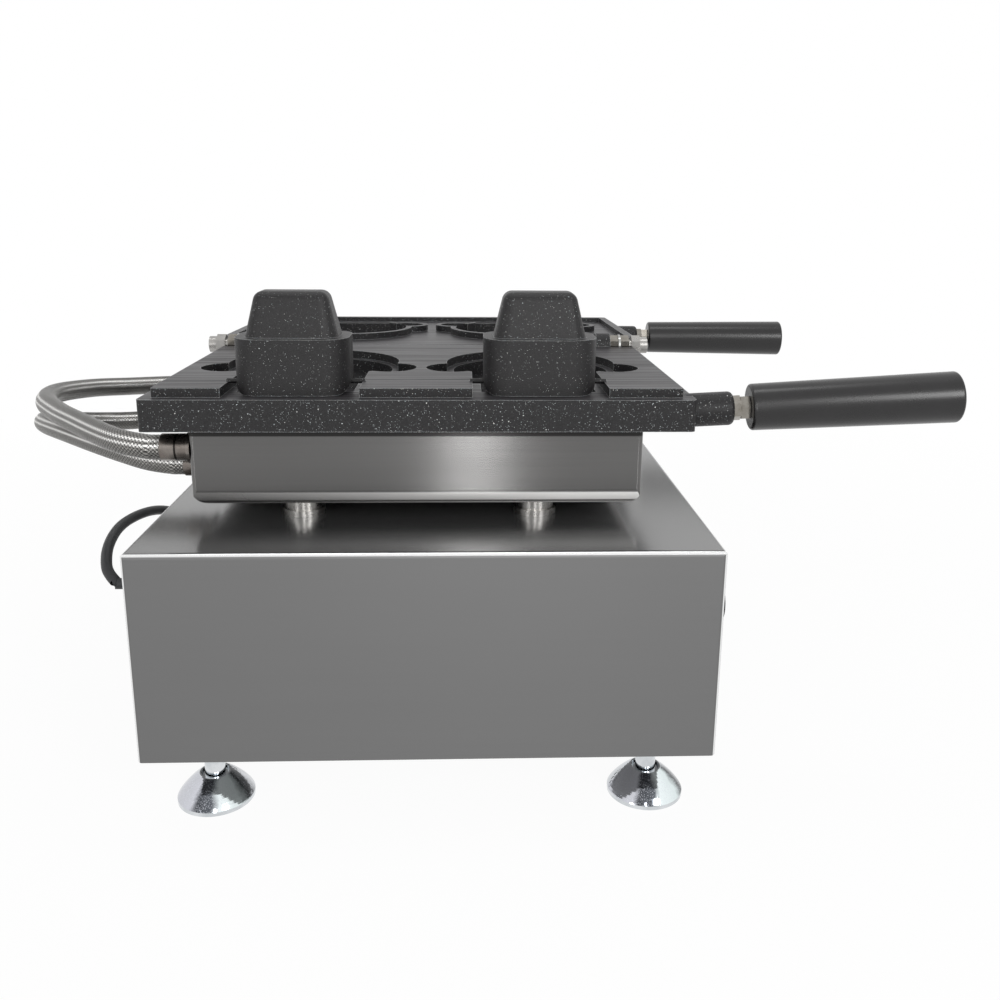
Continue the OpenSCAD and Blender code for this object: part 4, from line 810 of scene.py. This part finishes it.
def bar_points(radius0, radius1, width, turn):
    """A bar that runs outwards from a middle. turn is clockwise from straight up."""
    a = math.radians(turn)
    out, side = np.array((math.sin(a), math.cos(a))), np.array((math.cos(a), -math.sin(a)))
    return [out * r + side * w for r, w in ((radius0, -width / 2), (radius0, width / 2),
                                            (radius1, width / 2), (radius1, -width / 2))]


def marks(name, place, slot, body, texts=(), bars=()):
    """Flat raised marks: texts are (text, size, across, up), bars are corners in the plane."""
    bm = bmesh.new()
    for text, size, across, up in texts:
        data = text_mesh(text, size)
        data.transform(Matrix.Translation((across, up, 0)))
        bm.from_mesh(data)
        bpy.data.meshes.remove(data)
    bmesh.ops.remove_doubles(bm, verts=bm.verts[:], dist=1e-5)
    for corners in bars:
        low, high = ([bm.verts.new((*c, h)) for c in corners] for h in (-INK / 2, INK / 2))
        bm.faces.new(low)
        bm.faces.new(high[::-1])
        for i in range(len(corners)):
            j = (i + 1) % len(corners)
            bm.faces.new((low[j], low[i], high[i], high[j]))
    bmesh.ops.recalc_face_normals(bm, faces=bm.faces[:])
    data = bpy.data.meshes.new(name)
    bm.to_mesh(data)
    bm.free()
    data.transform(Matrix.Diagonal((MM, MM, MM, 1)) @ place)
    obj = bpy.data.objects.new(name, data)
    scene.collection.objects.link(obj)
    finish_piece(obj, slot, body)


def flute(mid, base, tip, a):
    """One raised flute at the angle a, from (x, radius) at its foot to (x, radius) at its tip."""
    rows = []
    for x, r in (base, tip):
        for dr, w in FLUTE_PROFILE:
            for side in (-w, w):
                rows.append((x, mid[1] + (r + dr) * math.sin(a) + side * math.cos(a),
                             mid[2] + (r + dr) * math.cos(a) - side * math.sin(a)))
    return mesh_object("flute", rows, [(0, 1, 3, 2), (4, 6, 7, 5), (0, 2, 6, 4),
                                       (1, 5, 7, 3), (2, 3, 7, 6), (0, 4, 5, 1)], smooth=False)


def dial(knob, sweep, labels):
    """Scale on the panel, and a pointer line and flutes on its knob.

    The knob's own raised pointer takes the place of the first flute."""
    hi, mid = box_mm(knob)[1:]
    face = box_mm("control_panel")[1][0]
    gaps = len(labels) - 1
    steps = gaps * TICKS_PER_LABEL
    bars = []
    for i in range(steps + 1):
        long = i % TICKS_PER_LABEL == 0
        bars.append(bar_points(TICK_FROM, TICK_LONG if long else TICK_SHORT,
                               TICK_WIDE if long else TICK_THIN, sweep * i / steps))
    texts = []
    for i, label in enumerate(labels):
        a = math.radians(sweep * i / gaps)
        texts.append((label, LETTERS, LABEL_ACROSS * math.sin(a), LABEL_UP * math.cos(a)))
    on_panel = Matrix.Translation((face + RAISED, mid[1], mid[2])) @ FACE_RIGHT
    marks(knob + "_scale", on_panel, "knob_plastic", "base", texts, bars)
    on_knob = Matrix.Translation((hi[0] + RAISED, mid[1], mid[2])) @ FACE_RIGHT
    marks(knob + "_line", on_knob, "terminal_plastic", knob, (), [bar_points(*POINTER_LINE, 0)])
    base, tip = ((hi[0] - back, r) for back, r in (FLUTE_FOOT, FLUTE_TIP))
    flutes = [flute(mid, base, tip, 2 * math.pi * i / FLUTE_PITCHES)
              for i in range(1, FLUTE_PITCHES)]
    finish_piece(joined(knob + "_flutes", flutes), "knob_plastic", knob)


dial("thermostat_knob", 270, ("0", "50", "100", "150", "200", "250", "300"))
dial("timer_knob", 300, ("0", "1", "2", "3", "4", "5"))

CAP_FACE, CAP_MARK, CAP_MARK_UP = 3.5, 4.0, 4.0
WORD_UP = 17
CROSS_ARM, CROSS_W, CROSS_MIDDLE, CROSS_SINK = 2.1, 0.75, 0.37, 0.03
CROSS_TURN, CROSS_STEP = 0.5, 0.9
SCREW_ROWS = (("panel_screws", 4.0, (1,), True), ("tray_screws", 3.5, (-1, 1), False))


def make_switch_marks():
    """ON and OFF on the panel, and I and O on the rocker, tilted as it rests."""
    mid = box_mm("switch_body")[2]
    face = box_mm("control_panel")[1][0]
    on_panel = Matrix.Translation((face + RAISED, mid[1], mid[2])) @ FACE_RIGHT
    marks("switch_words", on_panel, "knob_plastic", "base",
          (("ON", LETTERS, 0, WORD_UP), ("OFF", LETTERS, 0, -WORD_UP)))
    rocking = joints["switch_rock"]
    tilt = -math.radians(rocking["range_deg"][1] / 2)
    on_cap = (Matrix.Translation(np.array(rocking["pos_m"]) / MM) @ Matrix.Rotation(tilt, 4, "Y")
              @ Matrix.Translation((CAP_FACE + RAISED, 0, 0)) @ FACE_RIGHT)
    marks("rocker_marks", on_cap, "terminal_plastic", "switch_rocker",
          (("I", CAP_MARK, 0, CAP_MARK_UP), ("O", CAP_MARK, 0, -CAP_MARK_UP)))


def make_screw_slot_shades():
    """Cross recesses in the screw heads, as dark inlays that paint in the shade of the recesses, each turned a
    little further.
    """
    cross = [bar_points(-CROSS_ARM, CROSS_ARM, CROSS_W, 0),
             bar_points(CROSS_MIDDLE, CROSS_ARM, CROSS_W, 90),
             bar_points(CROSS_MIDDLE, CROSS_ARM, CROSS_W, 270)]
    for node, head_r, sides, two_high in SCREW_ROWS:
        lo, hi, mid = box_mm(node)
        heights = (lo[2] + head_r, hi[2] - head_r) if two_high else (mid[2],)
        spots = [(y, z) for y in (lo[1] + head_r, hi[1] - head_r) for z in heights]
        for side in sides:
            x, face = (hi[0], FACE_RIGHT) if side > 0 else (lo[0], FACE_LEFT)
            for k, (y, z) in enumerate(spots):
                place = (Matrix.Translation((x - side * (INK / 2 - CROSS_SINK), y, z)) @ face
                         @ Matrix.Rotation(CROSS_TURN + CROSS_STEP * k, 4, "Z"))
                name = "%s_cross_%s_%d" % (node, "right" if side > 0 else "left", k)
                marks(name, place, "knob_plastic", "base", (), cross)


GLAND_FLANGE, GLAND_R, GLAND_WALL, CORD_GAP = 4, 8.0, 1.5, 0.1
RIB_COUNT, RIB_FROM, RIB_PITCH = 6, 6.4, 3.5
RIB_PROFILE = ((-1.0, -0.3), (-0.6, 0.7), (0.6, 0.9), (1.0, -0.1))


def make_gland_ribs():
    """Rings around the gland's cone, which narrows from its flange to the cord."""
    wall = GLAND + ORIGIN
    tip_r = CORD_D / 2 + CORD_GAP + GLAND_WALL
    narrowing = (GLAND_R - tip_r) / (GLAND_LEN - GLAND_FLANGE)
    ribs = []
    for i in range(RIB_COUNT):
        out = RIB_FROM + RIB_PITCH * i
        r = GLAND_R - narrowing * (out - GLAND_FLANGE)
        rib = loft_x("rib", [(wall[0] - out + dx, r + dr, r + dr, 2) for dx, dr in RIB_PROFILE])
        rib.location = Vector((0, wall[1], wall[2])) * MM
        ribs.append(rib)
    bpy.context.view_layer.update()
    finish_piece(joined("gland_ribs", ribs), "cord_rubber", "base")


make_switch_marks()
make_screw_slot_shades()
make_gland_ribs()


# Floor, backdrop and lights

FLOOR_R, FLOOR_SINK = 6, 0.0002
WORLD_LEVEL = 0.58


def ray_share(graph):
    """1 for camera, glossy and transmission rays, else 0."""
    rays = graph.node("LightPath").outputs
    seen = graph.math("MAXIMUM", rays["Is Camera Ray"], rays["Is Glossy Ray"])
    return graph.math("MAXIMUM", seen, rays["Is Transmission Ray"])


def make_floor():
    """A pale floor that looks white, fully so away from the middle, and that shadows darken."""
    bm = bmesh.new()
    bmesh.ops.create_circle(bm, cap_ends=True, segments=96, radius=FLOOR_R)
    data = bpy.data.meshes.new("floor")
    bm.to_mesh(data)
    bm.free()
    floor = bpy.data.objects.new("floor", data)
    floor.location.z = -FLOOR_SINK
    scene.collection.objects.link(floor)
    mat = bpy.data.materials.new("floor")
    g = Graph(mat)
    g.tree.nodes.clear()
    pale = g.node("BsdfDiffuse", {"Color": (0.86, 0.86, 0.86, 1)}).outputs[0]
    glow = g.node("Emission", {"Color": (1, 1, 1, 1)}).outputs[0]
    reach = g.node("VectorMath", {0: g.coords()}, operation="LENGTH").outputs["Value"]
    fade = g.node("MapRange", {"Value": reach, "From Min": 0.30, "From Max": 1.2,
                               "To Min": 0.95, "To Max": 1.0}).outputs["Result"]
    share = g.math("MULTIPLY", ray_share(g), fade)
    g.node("OutputMaterial", {0: g.node("MixShader", {0: share, 1: pale, 2: glow}).outputs[0]})
    data.materials.append(mat)


def make_world(level):
    """A white backdrop that lights the object at level."""
    world = bpy.data.worlds.new("studio")
    scene.world = world
    g = Graph(world)
    g.tree.nodes.clear()
    strength = g.node("MapRange", {"Value": ray_share(g), "To Min": level, "To Max": 1.0})
    background = g.node("Background", {"Color": (1, 1, 1, 1),
                                       "Strength": strength.outputs["Result"]})
    g.node("OutputWorld", {0: background.outputs[0]})


def softbox(name, place_at, aim, size, watts):
    """A rectangular lamp at a place, turned to what it lights."""
    data = bpy.data.lights.new(name, "AREA")
    data.shape = "RECTANGLE"
    data.size, data.size_y = size
    data.energy = watts
    obj = bpy.data.objects.new(name, data)
    obj.location = place_at
    obj.rotation_euler = (Vector(aim) - Vector(place_at)).to_track_quat("-Z", "Y").to_euler()
    scene.collection.objects.link(obj)


make_floor()
make_world(WORLD_LEVEL)
softbox("overhead", (0.0, -0.05, 1.7), aim=(0, 0, 0.2), size=(1.1, 0.28), watts=4)
softbox("front", (0.045, -1.75, 0.62), aim=(0.045, 0, 0.22), size=(0.13, 0.9), watts=6)
softbox("right_strip", (0.90, -1.5, 0.90), aim=(0.2, -0.1, 0.22), size=(0.5, 0.55), watts=9)
softbox("left_strip", (-1.0, -1.35, 0.50), aim=(-0.2, 0.0, 0.22), size=(0.35, 0.2), watts=3)
